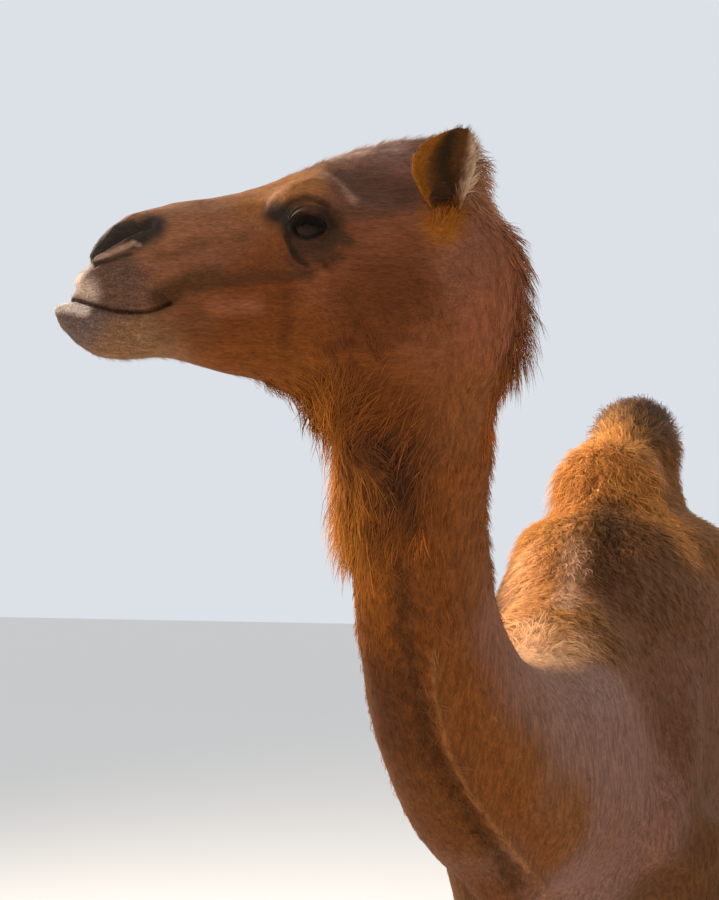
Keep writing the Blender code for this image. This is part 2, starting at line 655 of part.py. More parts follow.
def stand_centred(objects):
    """Moves everything so that the middle of the floor under the camel is the origin."""
    corners = [vertex.co for obj in objects for vertex in obj.data.vertices]
    middle = [(min(c[k] for c in corners) + max(c[k] for c in corners)) / 2 for k in (0, 1)]
    for obj in objects:
        obj.data.transform(Matrix.Translation((-middle[0], -middle[1], 0)))


def build():
    collection, cutters = start_scene()
    form = whole_form(cutters)
    parts = parted(form)
    inset = {}
    for side_name, side in SIDES.items():
        inset["eye_" + side_name] = ("head", eye(side), "eye_glass")
        inset["ear_" + side_name] = ("head", ear(side), "ear_coat")
    for foot in [name for name in parts if "foot" in name]:
        for toe, which in ((-1, "a"), (1, "b")):
            inset[f"{foot.replace('foot', 'nail')}_{which}"] = (foot, nail(foot, toe), "nail_horn")
    root = add_object("camel_stands_here", None, collection)
    made = []
    for name, (owner, mesh, coat) in inset.items():
        parts[owner] = combined(parts[owner], mesh, "DIFFERENCE", grow=GAP)
        made.append(finish(name, mesh, coat, root))
    for name, mesh in parts.items():
        made.append(finish(name, mesh, coat_of(name), root))
    stand_centred(made)


build()
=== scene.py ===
import math

import bmesh
import bpy
import numpy as np
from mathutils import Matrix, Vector
from mathutils.bvhtree import BVHTree


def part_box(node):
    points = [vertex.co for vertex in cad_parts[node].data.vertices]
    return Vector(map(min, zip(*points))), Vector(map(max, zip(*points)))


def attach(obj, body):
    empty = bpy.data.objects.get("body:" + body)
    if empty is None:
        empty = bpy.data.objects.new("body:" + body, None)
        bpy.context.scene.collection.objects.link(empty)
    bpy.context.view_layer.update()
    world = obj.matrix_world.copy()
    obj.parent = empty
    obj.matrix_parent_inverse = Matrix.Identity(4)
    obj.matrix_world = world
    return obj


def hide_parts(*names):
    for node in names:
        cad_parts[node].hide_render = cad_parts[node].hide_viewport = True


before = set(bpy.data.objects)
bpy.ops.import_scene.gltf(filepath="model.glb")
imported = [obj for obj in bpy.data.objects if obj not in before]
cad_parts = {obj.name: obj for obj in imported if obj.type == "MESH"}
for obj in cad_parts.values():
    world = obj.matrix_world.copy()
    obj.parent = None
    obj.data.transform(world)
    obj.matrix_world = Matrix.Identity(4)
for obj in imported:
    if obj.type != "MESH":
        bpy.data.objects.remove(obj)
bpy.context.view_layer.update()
rng = np.random.default_rng(11)
up = np.array((0.0, 0.0, 1.0))


# Small helpers


def linear(hexColour):  # sRGB hex to the linear colour that nodes and attributes take
    parts = [int(hexColour[i : i + 2], 16) / 255 for i in (0, 2, 4)]
    return [c / 12.92 if c <= 0.04045 else ((c + 0.055) / 1.055) ** 2.4 for c in parts]


def ease(low, high, value):  # 0 below low, 1 above high, smooth between
    t = np.clip((value - low) / (high - low), 0, 1)
    return t * t * (3 - 2 * t)


def unit(vectors):
    return vectors / np.maximum(np.linalg.norm(vectors, axis=-1, keepdims=True), 1e-9)


def middle(node):
    low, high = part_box(node)
    return np.array((low + high) / 2)


def wherePoints(mesh):
    flat = np.empty(len(mesh.vertices) * 3)
    mesh.vertices.foreach_get("co", flat)
    return flat.reshape(-1, 3)


def movePoints(mesh, where):
    mesh.vertices.foreach_set("co", where.ravel())
    mesh.update()


def pointNormals(mesh):
    flat = np.empty(len(mesh.vertices) * 3, np.float32)
    mesh.vertex_normals.foreach_get("vector", flat)
    return flat.reshape(-1, 3).astype(float)


def cornersOf(mesh):  # the numbers of each triangle's three points
    mesh.calc_loop_triangles()
    corners = np.empty(len(mesh.loop_triangles) * 3, np.int32)
    mesh.loop_triangles.foreach_get("vertices", corners)
    return corners.reshape(-1, 3)


def meshFrom(bm, name):
    mesh = bpy.data.meshes.new(name)
    bm.to_mesh(mesh)
    bm.free()
    return mesh


def addObject(name, data):
    made = bpy.data.objects.new(name, data)
    bpy.context.scene.collection.objects.link(made)
    return made


def shapedMesh(holder):  # what the object's modifiers make of its mesh
    bpy.context.view_layer.update()
    return bpy.data.meshes.new_from_object(holder.evaluated_get(bpy.context.evaluated_depsgraph_get()))


def painted(colour, hexColour, weight):  # moves each point's colour towards another by its weight
    return colour + weight[:, None] * (np.array(linear(hexColour)) - colour)


def toPath(points, path):  # distance from each point to a line of points
    path = np.array(path, float)
    if len(path) == 1:
        return np.linalg.norm(points - path[0], axis=1)
    best = np.full(len(points), 1e9)
    for a, b in zip(path, path[1:]):
        run = b - a
        t = np.clip((points - a) @ run / (run @ run), 0, 1)
        best = np.minimum(best, np.linalg.norm(points - a - t[:, None] * run, axis=1))
    return best


# Head axes: X to the nose, Y to the camel's left, Z up, origin in the middle of the skull

leftEye, rightEye = middle("eye_left"), middle("eye_right")
headLeft = unit((leftEye - rightEye) * (1, 1, 0))
headAhead = np.cross(headLeft, up)
eyeInHead = np.array((0.117, 0.094, 0.013))
headOrigin = (leftEye + rightEye) / 2 - eyeInHead[0] * headAhead - eyeInHead[2] * up
headAxes = np.array((headAhead, headLeft, up))


def inHead(points):
    return (points - headOrigin) @ headAxes.T


def fromHead(points):
    return np.asarray(points, float) @ headAxes + headOrigin


# Camera and light

view = {
    "fromLeftEye": (0.6544, -1.4595, -0.403),  # metres
    "lens": 54,
    "tilt": 94.66,  # degrees: the lens looks up a little
    "turn": 22.0,
}
lights = [  # name, place, aimed at, size in metres, watts, colour
    ("keyLight", (-3.57, -0.2, 4.2), (0.0, -0.6, 1.7), 1.7, 420, "fff0df"),
    ("backLight", (2.6, 3.4, 4.6), (0.0, -0.2, 1.7), 2.4, 90, "fff4e6"),
    ("lowLight", (0.6, -4.8, 0.45), (0.0, -0.6, 1.5), 4.0, 50, "ffc998"),
]
room = {"colour": "e9eef5", "strength": 0.88}


def makeCamera():
    lens = bpy.data.cameras.new("camera")
    lens.sensor_fit = "VERTICAL"
    lens.sensor_width = lens.sensor_height = 36
    lens.lens = view["lens"]
    lens.clip_end = 60
    camera = addObject("camera", lens)
    camera.location = leftEye + view["fromLeftEye"]
    camera.rotation_euler = (math.radians(view["tilt"]), 0, math.radians(view["turn"]))
    bpy.context.scene.camera = camera


def makeLights():
    for name, place, aim, size, watts, colour in lights:
        lamp = bpy.data.lights.new(name, "AREA")
        lamp.shape = "DISK"
        lamp.size = size
        lamp.energy = watts
        lamp.color = linear(colour)
        holder = addObject(name, lamp)
        holder.location = place
        holder.rotation_euler = (Vector(aim) - Vector(place)).to_track_quat("-Z", "Y").to_euler()
    world = bpy.data.worlds.new("paleRoom")
    bpy.context.scene.world = world
    world.use_nodes = True
    background = world.node_tree.nodes["Background"]
    background.inputs["Color"].default_value = (*linear(room["colour"]), 1)
    background.inputs["Strength"].default_value = room["strength"]


makeCamera()
makeLights()
bpy.context.scene.view_settings.view_transform = "Standard"
print("camera and lights")


# Skin: one closed surface through all the flesh nodes, smoothed, and drawn in by the coat's depth

skinSettings = {
    "voxel": 0.0178,  # metres
    "bodyRounds": 22,  # rounds of smoothing
    "headRounds": 5,
    "sparedLegs": 0.75,  # how much of the smoothing each part is spared
    "sparedFeet": 0.1,
    "sparedHump": 0.7,
    "sparedHead": 0.8,
}
sparedAt = {"legs": (1.15, 0.85), "feet": (0.16, 0.08), "hump": (1.74, 1.80)}  # heights: from, fully
notFlesh = ("eye", "ear", "forenail", "hindnail")
flesh = sorted(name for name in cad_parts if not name.startswith(notFlesh))
ears = ("ear_left", "ear_right")
nails = sorted(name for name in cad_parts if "nail" in name)


def mergedCopy(node):
    bm = bmesh.new()
    bm.from_mesh(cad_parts[node].data)
    bmesh.ops.remove_doubles(bm, verts=bm.verts, dist=1e-6)
    return bm


def fusedFlesh():
    whole = bmesh.new()
    for node in flesh + nails + ["eye_left", "eye_right"]:  # eyes and nails fill their sockets
        part = meshFrom(mergedCopy(node), "part")
        whole.from_mesh(part)
        bpy.data.meshes.remove(part)
    holder = addObject("fused", meshFrom(whole, "fused"))
    remesh = holder.modifiers.new("fuse", "REMESH")
    remesh.mode = "VOXEL"
    remesh.voxel_size = skinSettings["voxel"]
    fused = shapedMesh(holder)
    bpy.data.objects.remove(holder)
    return fused


def relax(mesh, rounds, amount=1.0):  # smooths small waves and keeps the bulk
    where = wherePoints(mesh)
    ends = np.empty(len(mesh.edges) * 2, np.int32)
    mesh.edges.foreach_get("vertices", ends)
    a, b = ends.reshape(-1, 2).T
    count = np.bincount(np.r_[a, b], minlength=len(where))[:, None]
    for step in (0.5, -0.52) * rounds:
        total = np.empty_like(where)
        for k in range(3):
            total[:, k] = np.bincount(a, where[b, k], len(where))
            total[:, k] += np.bincount(b, where[a, k], len(where))
        where += step * amount * (total / count - where)
    movePoints(mesh, where)


def refine(mesh, wanted):  # splits the faces whose middle is wanted
    bm = bmesh.new()
    bm.from_mesh(mesh)
    middles = np.array([face.calc_center_median() for face in bm.faces])
    chosen = [face for face, yes in zip(bm.faces, wanted(middles)) if yes]
    edges = list({edge for face in chosen for edge in face.edges})
    bmesh.ops.subdivide_edges(bm, edges=edges, cuts=1, use_grid_fill=True)
    bm.to_mesh(mesh)
    bm.free()
    mesh.update()


def headShare(points, edge=0.06):  # 1 on the head, 0 away from it
    local = inHead(points)
    behind = ease(-0.14, -0.14 + edge, local[:, 0] + 0.5 * np.minimum(local[:, 2] + 0.05, 0))
    return behind * ease(-0.24, -0.19, local[:, 2]) * (np.abs(local[:, 1]) < 0.2)


def nearEye(points, reach):
    local = inHead(points)
    local[:, 1] = np.abs(local[:, 1])
    return np.linalg.norm(local - eyeInHead, axis=1) < reach


mouthLine = [  # x and z in the side view, from the front of the lips to the corner
    (0.440, -0.0640),
    (0.402, -0.0690),
    (0.381, -0.0775),
    (0.357, -0.0840),
    (0.333, -0.0865),
    (0.317, -0.0860),
    (0.302, -0.0820),
    (0.288, -0.0740),
]
nostrilSlit = [(0.384, -0.021), (0.366, -0.014), (0.345, -0.001), (0.322, 0.012)]


def sideView(points):
    local = inHead(points)
    return local[:, (0, 2)]


def nearFace(points, reach):  # close to the mouth line, the nostrils or the eyes
    flat = sideView(points)
    near = toPath(flat, mouthLine) < reach
    near |= toPath(flat, nostrilSlit) < reach * 1.3
    return (near & (headShare(points) > 0.5)) | nearEye(points, 0.028 + reach * 2)


def buildSkin():
    mesh = fusedFlesh()
    print("skin fused", len(mesh.polygons))
    where = wherePoints(mesh)
    legs, feet, hump = (ease(*sparedAt[part], where[:, 2]) for part in ("legs", "feet", "hump"))
    hump = hump * ease(-0.10, 0.0, where[:, 1])
    amount = 1 - skinSettings["sparedLegs"] * legs - skinSettings["sparedFeet"] * feet
    amount -= skinSettings["sparedHump"] * hump
    amount *= 1 - skinSettings["sparedHead"] * headShare(where)
    relax(mesh, skinSettings["bodyRounds"], amount[:, None])
    refine(mesh, lambda p: (headShare(p, 0.02) > 0.1) | (p[:, 2] < 0.10) | nearCord(p, 0.05))
    relax(mesh, 2, headShare(wherePoints(mesh))[:, None])
    refine(mesh, lambda p: ((headShare(p, 0.02) > 0.5) & (inHead(p)[:, 0] > -0.07)) | nearCord(p, 0.02))
    relax(mesh, skinSettings["headRounds"], headShare(wherePoints(mesh))[:, None])
    return mesh


# Coat depth, in metres, that the skin lies inside the solids

coatDepth = {"body": 0.007, "hump": 0.010, "leg": 0.004, "foot": 0.0015, "head": 0.0022}
depthHeights = {"hump": (1.72, 1.80), "leg": (1.0, 0.8), "foot": (0.16, 0.10)}
humpStart = (-0.45, -0.30)  # Y


def depthAt(points):
    head = headShare(points)
    depth = np.full(len(points), coatDepth["body"])
    for part, heights in depthHeights.items():
        share = ease(*heights, points[:, 2])
        share = share * ease(*humpStart, points[:, 1]) if part == "hump" else share
        depth += (coatDepth[part] - depth) * share
    return depth + (coatDepth["head"] - depth) * head


def drawIn(mesh):
    where = wherePoints(mesh)
    where -= pointNormals(mesh) * depthAt(where)[:, None]
    where[:, 2] = np.where(where[:, 2] < 0.004, np.maximum(where[:, 2], 0.0), where[:, 2])
    movePoints(mesh, where)


# The neck's sections, from the jaw to the chest

neckLine = [  # centre, half width, half depth, the way the nape faces, the way the hair lies
    ((0.077, -1.022, 1.950), 0.083, 0.128, (0.88, 0.47, 0.00), (0.05, 0.05, -1)),
    ((0.051, -1.010, 1.850), 0.080, 0.120, (0.83, 0.56, 0.00), (-0.15, 0.15, -1)),
    ((0.033, -0.975, 1.740), 0.079, 0.105, (0.73, 0.68, 0.10), (-0.10, 0.35, -1)),
    ((0.019, -0.918, 1.640), 0.083, 0.107, (0.53, 0.73, 0.35), (-0.10, 0.55, -1)),
    ((0.008, -0.840, 1.535), 0.095, 0.124, (0.35, 0.60, 0.65), (0.00, 0.75, -0.9)),
    ((0.013, -0.730, 1.425), 0.116, 0.150, (0.15, 0.45, 0.85), (0.10, 0.85, -0.7)),
    ((0.029, -0.600, 1.350), 0.142, 0.184, (0.05, 0.10, 1.00), (0.12, 1.0, -0.45)),
    ((0.048, -0.465, 1.340), 0.160, 0.213, (0.00, 0.00, 1.00), (0.08, 1.0, -0.35)),
]


def onNeck(section, across, toNape):  # a place by section, and by shares of half width and half depth
    k = int(min(max(section, 0), len(neckLine) - 1.001))
    t = section - k
    rows = []
    for centre, half, deep, nape, comb in neckLine[k : k + 2]:
        nape = unit(np.array(nape))
        left = unit(np.cross(unit(np.array(comb, float)), nape))
        rows.append(np.concatenate((centre, left * half, nape * deep)))
    mixed = rows[0] + t * (rows[1] - rows[0])
    return mixed[:3] + across * mixed[3:6] + toNape * mixed[6:]


groovePath = [(2.5, 0.84, -0.70), (2.93, 0.77, -0.75), (3.42, 0.70, -0.81), (3.79, 0.62, -0.87)]
groovePath += [(4.29, 0.53, -0.94), (4.83, 0.52, -0.99), (5.27, 0.53, -1.03), (5.79, 0.50, -1.09)]
cordPath = [(3.5, 0.86, -0.60), (3.93, 0.78, -0.75), (4.41, 0.68, -0.89)]
cordPath += [(4.88, 0.66, -0.92), (5.44, 0.68, -0.97), (6.12, 0.64, -1.05)]
behindPath = [(3.7, 0.94, -0.42), (4.28, 0.91, -0.54), (5.24, 0.86, -0.70), (5.9, 0.80, -0.85)]
neckFolds = [  # path of section, share across and share to the nape, then width and height in mm
    ("groove of the neck", groovePath, 15, -9.0),
    ("cord of the neck", cordPath, 8, 6.0),
    ("edge of the nape", [(1.7, 0.0, 1.0), (2.6, 0.0, 1.0), (4.0, 0.0, 1.0)], 50, 7.0),
    ("behind the cord", behindPath, 26, -5.0),
]
neckSides = ((1, 1), (-1.2, 0.7))  # left, and right, where the folds lie farther back


def skinTree(mesh):
    return BVHTree.FromPolygons(wherePoints(mesh).tolist(), cornersOf(mesh).tolist())


def laidOn(tree, line):  # the line in finer steps on the skin
    steps = np.linspace(0, len(line) - 1, 3 * len(line))
    fine = [np.interp(steps, np.arange(len(line)), np.array(line)[:, k]) for k in range(3)]
    return np.array([tree.find_nearest(point)[0] for point in zip(*fine)])


def neckPaths(name, tree=None):  # the fold on both sides, laid on the skin where one is given
    path = next(fold[1] for fold in neckFolds if fold[0] == name)
    lines = [[onNeck(t, a * wide, b * deep) for t, a, b in path] for wide, deep in neckSides]
    return lines if tree is None else [laidOn(tree, line) for line in lines]


def foldNeck(mesh):
    where, tree = wherePoints(mesh), skinTree(mesh)
    lift = np.zeros(len(where))
    for name, path, width, height in neckFolds:
        for line in neckPaths(name, tree):
            lift += np.exp(-((toPath(where, line) / (width / 1000)) ** 2)) * height / 1000
    where += pointNormals(mesh) * lift[:, None]
    movePoints(mesh, where)


def nearCord(points, reach):
    return np.minimum(*(toPath(points, line) for line in neckPaths("cord of the neck"))) < reach


# Folds of the head in the side view, the same on both sides: path of x and z, width and height in mm

folds = [
    ("nostril opening", [(0.385, -0.015), (0.366, -0.003), (0.344, 0.011), (0.318, 0.023)], 6.0, -8.0),
    ("wing of the nostril", nostrilSlit, 3.2, 4.5),
    ("root of the ear", [(-0.042, 0.044), (-0.054, 0.042)], 13, -24.0),
    ("under the wing", [(0.380, -0.029), (0.360, -0.021), (0.338, -0.008), (0.318, 0.006)], 2.6, -3.0),
    ("under the nose", [(0.398, -0.016), (0.386, -0.026)], 7, -4.0),
    ("front of the upper lip", [(0.403, -0.040), (0.390, -0.050)], 11, 7.0),
    ("tip of the upper lip", [(0.422, -0.062), (0.424, -0.058)], 8, -8.0),
    ("mouth", mouthLine, 2.6, -8.0),
    ("upper lip", [(0.385, -0.055), (0.350, -0.060), (0.320, -0.060)], 11, 3.0),
    ("lower lip rim", [(0.430, -0.075), (0.395, -0.083), (0.360, -0.094), (0.330, -0.097)], 7, 2.5),
    ("corner of the mouth", [(0.288, -0.074), (0.280, -0.064), (0.276, -0.052)], 4, -3.0),
    ("fold over the corner", [(0.307, -0.062), (0.284, -0.046), (0.252, -0.040)], 6, -4.0),
    ("chin fold", [(0.300, -0.118), (0.284, -0.118)], 7, -4.0),
    ("crest of the face", [(0.130, -0.030), (0.200, -0.040), (0.260, -0.042)], 10, 4.0),
    ("under the crest", [(0.110, -0.058), (0.180, -0.062), (0.240, -0.064), (0.290, -0.064)], 11, -8.0),
    ("nose bone edge", [(0.180, 0.045), (0.240, 0.034), (0.300, 0.022)], 14, 3.0),
    ("side of the nose", [(0.190, 0.005), (0.250, -0.004), (0.290, -0.010)], 16, -5.0),
    ("brow", [(0.098, 0.100), (0.092, 0.078), (0.076, 0.055), (0.050, 0.040)], 8, 2.2),
    ("brow cushion", [(0.150, 0.055), (0.115, 0.062)], 18, 3.5),
    ("temple hollow", [(0.000, 0.060), (0.045, 0.072), (0.070, 0.095)], 20, -8.0),
    ("pouch", [(0.137, -0.018), (0.118, -0.027), (0.098, -0.022)], 8, 3.5),
    ("fold under the pouch", [(0.152, -0.004), (0.138, -0.032), (0.122, -0.044), (0.098, -0.036)], 4, -4.5),
    ("fold to the outer corner", [(0.098, -0.036), (0.084, -0.022), (0.080, -0.008)], 4, -3.2),
    ("edge of the jaw muscle", [(0.085, -0.060), (0.070, -0.100), (0.045, -0.138)], 12, -7.0),
    ("jaw muscle", [(0.020, -0.070), (0.000, -0.110)], 34, 5.0),
]
roundTheFront = ("mouth", "lower lip rim", "upper lip", "front of the upper lip")
roundTheFront += ("tip of the upper lip", "under the nose")
lipSplit = {"deep": 0.006, "wide": 0.0022}  # metres


def foldSkin(mesh):
    where = wherePoints(mesh)
    local = inHead(where)
    normals = pointNormals(mesh) @ headAxes.T
    share = headShare(where)
    facing = ease(0.05, 0.4, np.abs(normals[:, 1]))
    lift = np.zeros(len(where))
    for name, path, width, height in folds:
        near = np.exp(-((toPath(local[:, (0, 2)], path) / (width / 1000)) ** 2))
        wrap = 1.0 if name in roundTheFront else facing
        lift += near * wrap * height / 1000
    # the upper lip is split in the middle
    split = np.exp(-((local[:, 1] / lipSplit["wide"]) ** 2)) * ease(0.372, 0.385, local[:, 0])
    split = split * ease(-0.020, -0.030, local[:, 2])
    lift -= lipSplit["deep"] * split * ease(-0.070, -0.062, local[:, 2])
    where += pointNormals(mesh) * (lift * share)[:, None]
    movePoints(mesh, where)


eyeSettings = {
    "radius": 0.0225,
    "lid": 0.0024,  # thickness of the lids over the ball
    "gaze": (0.20, 1.0, -0.12),
    "opening": (0.0195, 0.0112, 0.0100),  # half width, height above and below its line
    "centre": (0.000, -0.0055),
    "sunken": 0.0035,  # how far the skin lies under the ball's surface inside the opening
    "snap": 0.0006,  # points closer than this to the opening's edge slide onto it
    "clear": 0.0003,  # room between the ball and the lids
    "blend": (0.016, 0.006),  # the lids go over into the head between these distances from the edge
    "ends": 0.022,
}
lidFolds = {  # metres: distance from the opening's edge, height, width
    "rim": (0.0022, 0.0012, 0.0014),
    "foldOver": (0.0085, -0.0016, 0.0016),
    "swellOver": (0.0125, 0.0016, 0.0026),
    "foldUnder": (0.0060, -0.0010, 0.0014),
}


def eyeAxes(side):  # the ball's middle, where it looks, and the ways to the nose and up the lids
    gaze = unit(np.array(eyeSettings["gaze"]) * (1, side, 1))
    ahead = unit(np.cross(np.cross(gaze, (1, 0, 0)), gaze))
    rise = unit(np.cross(gaze, ahead) * side)
    return eyeInHead * (1, side, 1), gaze, ahead, rise if rise[2] > 0 else -rise


def lidRims(across):  # heights of the upper and lower rims, by shares of the half width
    above, below = eyeSettings["opening"][1:]
    return above * (1 - across**2.2) ** 0.75, below * (1 - across**2.0) ** 0.9


def eyeEdge(u, v):  # how far outside the opening between the lids, in metres
    half = eyeSettings["opening"][0]
    rise, drop = lidRims(np.clip(np.abs(u / half), 0, 1))
    return np.maximum(np.where(v > 0, v - rise, -v - drop), np.abs(u) - half)


def lidFold(name, edge):
    place, height, width = lidFolds[name]
    return height * np.exp(-(((edge - place) / width) ** 2))


def shapeLids(mesh):
    local = inHead(wherePoints(mesh))
    radius, nearest = eyeSettings["radius"], eyeSettings["snap"]
    for side in (1, -1):
        ball, gaze, ahead, rise = eyeAxes(side)
        out = local - ball
        reach = np.linalg.norm(out, axis=1)
        near = (reach < 0.05) & (out @ gaze > 0.002)
        p, far = out[near], reach[near]
        u = p @ ahead - eyeSettings["centre"][0]
        v = p @ rise - eyeSettings["centre"][1]
        edge = eyeEdge(u, v)
        # points near the opening's edge slide onto it, so that the lids have a clean rim
        step = 1e-4
        slopeU = (eyeEdge(u + step, v) - eyeEdge(u - step, v)) / (2 * step)
        slopeV = (eyeEdge(u, v + step) - eyeEdge(u, v - step)) / (2 * step)
        size = np.maximum(slopeU**2 + slopeV**2, 0.2)
        snap = np.where(np.abs(edge) < nearest, edge, 0.0) / size
        p = p - (snap * slopeU)[:, None] * ahead - (snap * slopeV)[:, None] * rise
        edge = np.where(np.abs(edge) < nearest, 0.0, edge)
        lid = radius + eyeSettings["lid"] * ease(0.0, 0.0016, edge) + eyeSettings["clear"]
        lid += lidFold("rim", edge)
        above = ease(-0.004, 0.004, v)
        lid += (lidFold("foldOver", edge) + lidFold("swellOver", edge)) * above
        lid += lidFold("foldUnder", edge) * (1 - above)
        blend = ease(*eyeSettings["blend"], edge)
        outside = lid * blend + np.maximum(far, lid) * (1 - blend)
        inside = np.where(edge > -0.0008, radius + eyeSettings["clear"], radius - eyeSettings["sunken"])
        wanted = np.where(edge > 0, outside, inside)
        wanted = np.where(edge == 0, radius + 0.0004, wanted)
        wanted = np.where(edge > eyeSettings["ends"], far, wanted)
        local[near] = ball + unit(p) * wanted[:, None]
    movePoints(mesh, fromHead(local))


# Ears: the CAD leaves, rounded, fitted to their outline and joined to the skin

earOutline = np.array(  # height, front edge and back edge in the head's axes
    [
        (0.008, -0.050, -0.060),
        (0.037, -0.030, -0.068),
        (0.056, -0.014, -0.075),
        (0.075, -0.005, -0.081),
        (0.093, -0.006, -0.084),
        (0.108, -0.016, -0.085),
        (0.120, -0.031, -0.084),
        (0.129, -0.047, -0.080),
        (0.136, -0.062, -0.072),
    ]
)


earFoot = {"down": 0.012, "inward": 0.014}  # metres that its foot sinks into the head


def earEdges(local):
    return [np.interp(local[:, 2], earOutline[:, 0], earOutline[:, k]) for k in (1, 2)]


def earShare(local):  # 0 at the ear's front edge, 1 at its back edge
    front, back = earEdges(local)
    return (front - local[:, 0]) / (front - back)


def shapeEar(mesh):  # fits the leaf to its outline and sinks its foot in the head
    local = inHead(wherePoints(mesh))
    ends = np.array([edge.vertices[:] for edge in mesh.edges])
    steps = np.linspace(0, 1, 7)[:, None, None]
    along = (local[ends[:, 0]] * (1 - steps) + local[ends[:, 1]] * steps).reshape(-1, 3)
    bands = 14
    levels = np.linspace(local[:, 2].min(), local[:, 2].max(), bands + 1)
    level = np.clip(np.searchsorted(levels, along[:, 2]) - 1, 0, bands - 1)
    middles = (levels[1:] + levels[:-1]) / 2
    front = np.interp(local[:, 2], middles, [along[level == k, 0].max() for k in range(bands)])
    back = np.interp(local[:, 2], middles, [along[level == k, 0].min() for k in range(bands)])
    share = np.clip((front - local[:, 0]) / (front - back), 0, 1)
    side = np.sign(local[:, 1].mean())
    local[:, 2] -= earFoot["down"] * ease(0.085, 0.02, local[:, 2])
    front, back = earEdges(local)
    local[:, 0] = front + share * (back - front)
    local[:, 1] -= side * earFoot["inward"] * ease(0.060, 0.015, local[:, 2])
    movePoints(mesh, fromHead(local))


def addEars(mesh):
    bm = bmesh.new()
    bm.from_mesh(mesh)
    bodyPoints = len(bm.verts)
    for node in ears:
        holder = addObject("leaf", meshFrom(mergedCopy(node), "leaf"))
        rounded = holder.modifiers.new("round", "SUBSURF")
        rounded.levels = rounded.render_levels = 2
        smooth = shapedMesh(holder)
        relax(smooth, 12)
        shapeEar(smooth)
        relax(smooth, 2)
        bm.from_mesh(smooth)
        bpy.data.objects.remove(holder)
    bm.to_mesh(mesh)
    bm.free()
    mesh.update()
    return np.arange(len(mesh.vertices)) >= bodyPoints


# How the hair grows. Each guide rules the coat round its place: where it is, its reach in metres, the
# way the hair is combed, then (length, width, lift in degrees, curl, thousand locks per square metre)
# with lengths in mm, and the colour

headGuides = [  # in the head's axes, the same on both sides
    ("nose", (0.25, 0.03, 0.05), 0.07, (-1, 0, 0.05), (8, 1.2, 10, 0.5, 36), "7d5439"),
    ("side of the nose", (0.24, 0.055, -0.01), 0.06, (-1, 0, -0.1), (7, 1.1, 7, 0.5, 36), "714630"),
    ("upper lip", (0.355, 0.045, -0.055), 0.035, (-0.6, 0.1, -0.8), (6, 0.9, 22, 0.4, 60), "563e31"),
    ("front of the lip", (0.392, 0.0, -0.035), 0.03, (0.1, 0.1, -1), (9, 0.9, 32, 0.4, 80), "8a6f5e"),
    ("lower lip", (0.40, 0.03, -0.095), 0.04, (-0.8, 0, -0.5), (8, 0.9, 26, 0.5, 60), "5b4a43"),
    ("chin", (0.34, 0.02, -0.135), 0.045, (-0.9, 0, -0.5), (13, 1.0, 44, 1.5, 80), "74543a"),
    ("cheek", (0.19, 0.06, -0.06), 0.07, (-1, 0, -0.25), (8, 1.2, 7, 0.6, 38), "603211"),
    ("cheek bone", (0.10, 0.09, -0.035), 0.05, (-1, 0, -0.15), (8, 1.2, 7, 0.6, 34), "6a3d24"),
    ("jaw muscle", (0.03, 0.09, -0.07), 0.075, (-0.8, 0, -0.5), (11, 1.3, 6, 1, 30), "522b13"),
    ("back of the jaw", (-0.03, 0.075, -0.13), 0.045, (0.0, 0, -1), (17, 1.5, 7, 2, 30), "704023"),
    ("jaw edge", (0.16, 0.035, -0.155), 0.045, (-0.9, 0, -0.4), (12, 1.3, 14, 1.5, 34), "62350f"),
    ("front of the beard", (0.172, 0, -0.152), 0.022, (-0.7, 0, -0.3), (26, 1.7, 80, 3, 80), "6f3d12"),
    ("beard", (0.150, 0, -0.160), 0.026, (-0.7, 0, -0.3), (38, 1.8, 82, 3, 80), "6f3d12"),
    ("end of the beard", (0.118, 0, -0.170), 0.026, (-0.7, 0, -0.3), (40, 1.8, 82, 3, 90), "6f3d12"),
    ("throat latch", (0.050, 0.0, -0.190), 0.040, (0.2, 0, -1), (34, 1.9, 24, 5, 60), "7a420e"),
    ("brow", (0.14, 0.06, 0.07), 0.045, (-0.9, 0.1, 0.3), (12, 1.2, 26, 1.5, 50), "8b5b33"),
    ("forehead", (0.10, 0.0, 0.12), 0.05, (-1, 0, 0.1), (16, 1.3, 24, 2, 80), "6f4d3b"),
    ("temple", (0.045, 0.085, 0.055), 0.04, (-1, 0, 0.15), (8, 1.2, 8, 0.6, 34), "54392f"),
    ("crown", (0.0, 0.02, 0.13), 0.05, (-1, 0, 0.25), (18, 1.4, 24, 4, 75), "745447"),
    ("poll", (-0.085, 0, 0.10), 0.05, (-0.9, 0, -0.35), (36, 1.9, 28, 6, 55), "8a5a3a"),
    ("foot of the ear", (-0.048, 0.085, 0.012), 0.024, (-0.15, 0.1, 1), (19, 1.3, 20, 3, 90), "7d4812"),
    ("behind the ear", (-0.08, 0.075, -0.03), 0.05, (-0.5, 0, -0.9), (18, 1.5, 8, 3, 36), "704530"),
    ("behind the eye", (0.03, 0.10, 0.0), 0.045, (-1, 0, -0.25), (9, 1.2, 7, 0.8, 34), "6a3d25"),
]

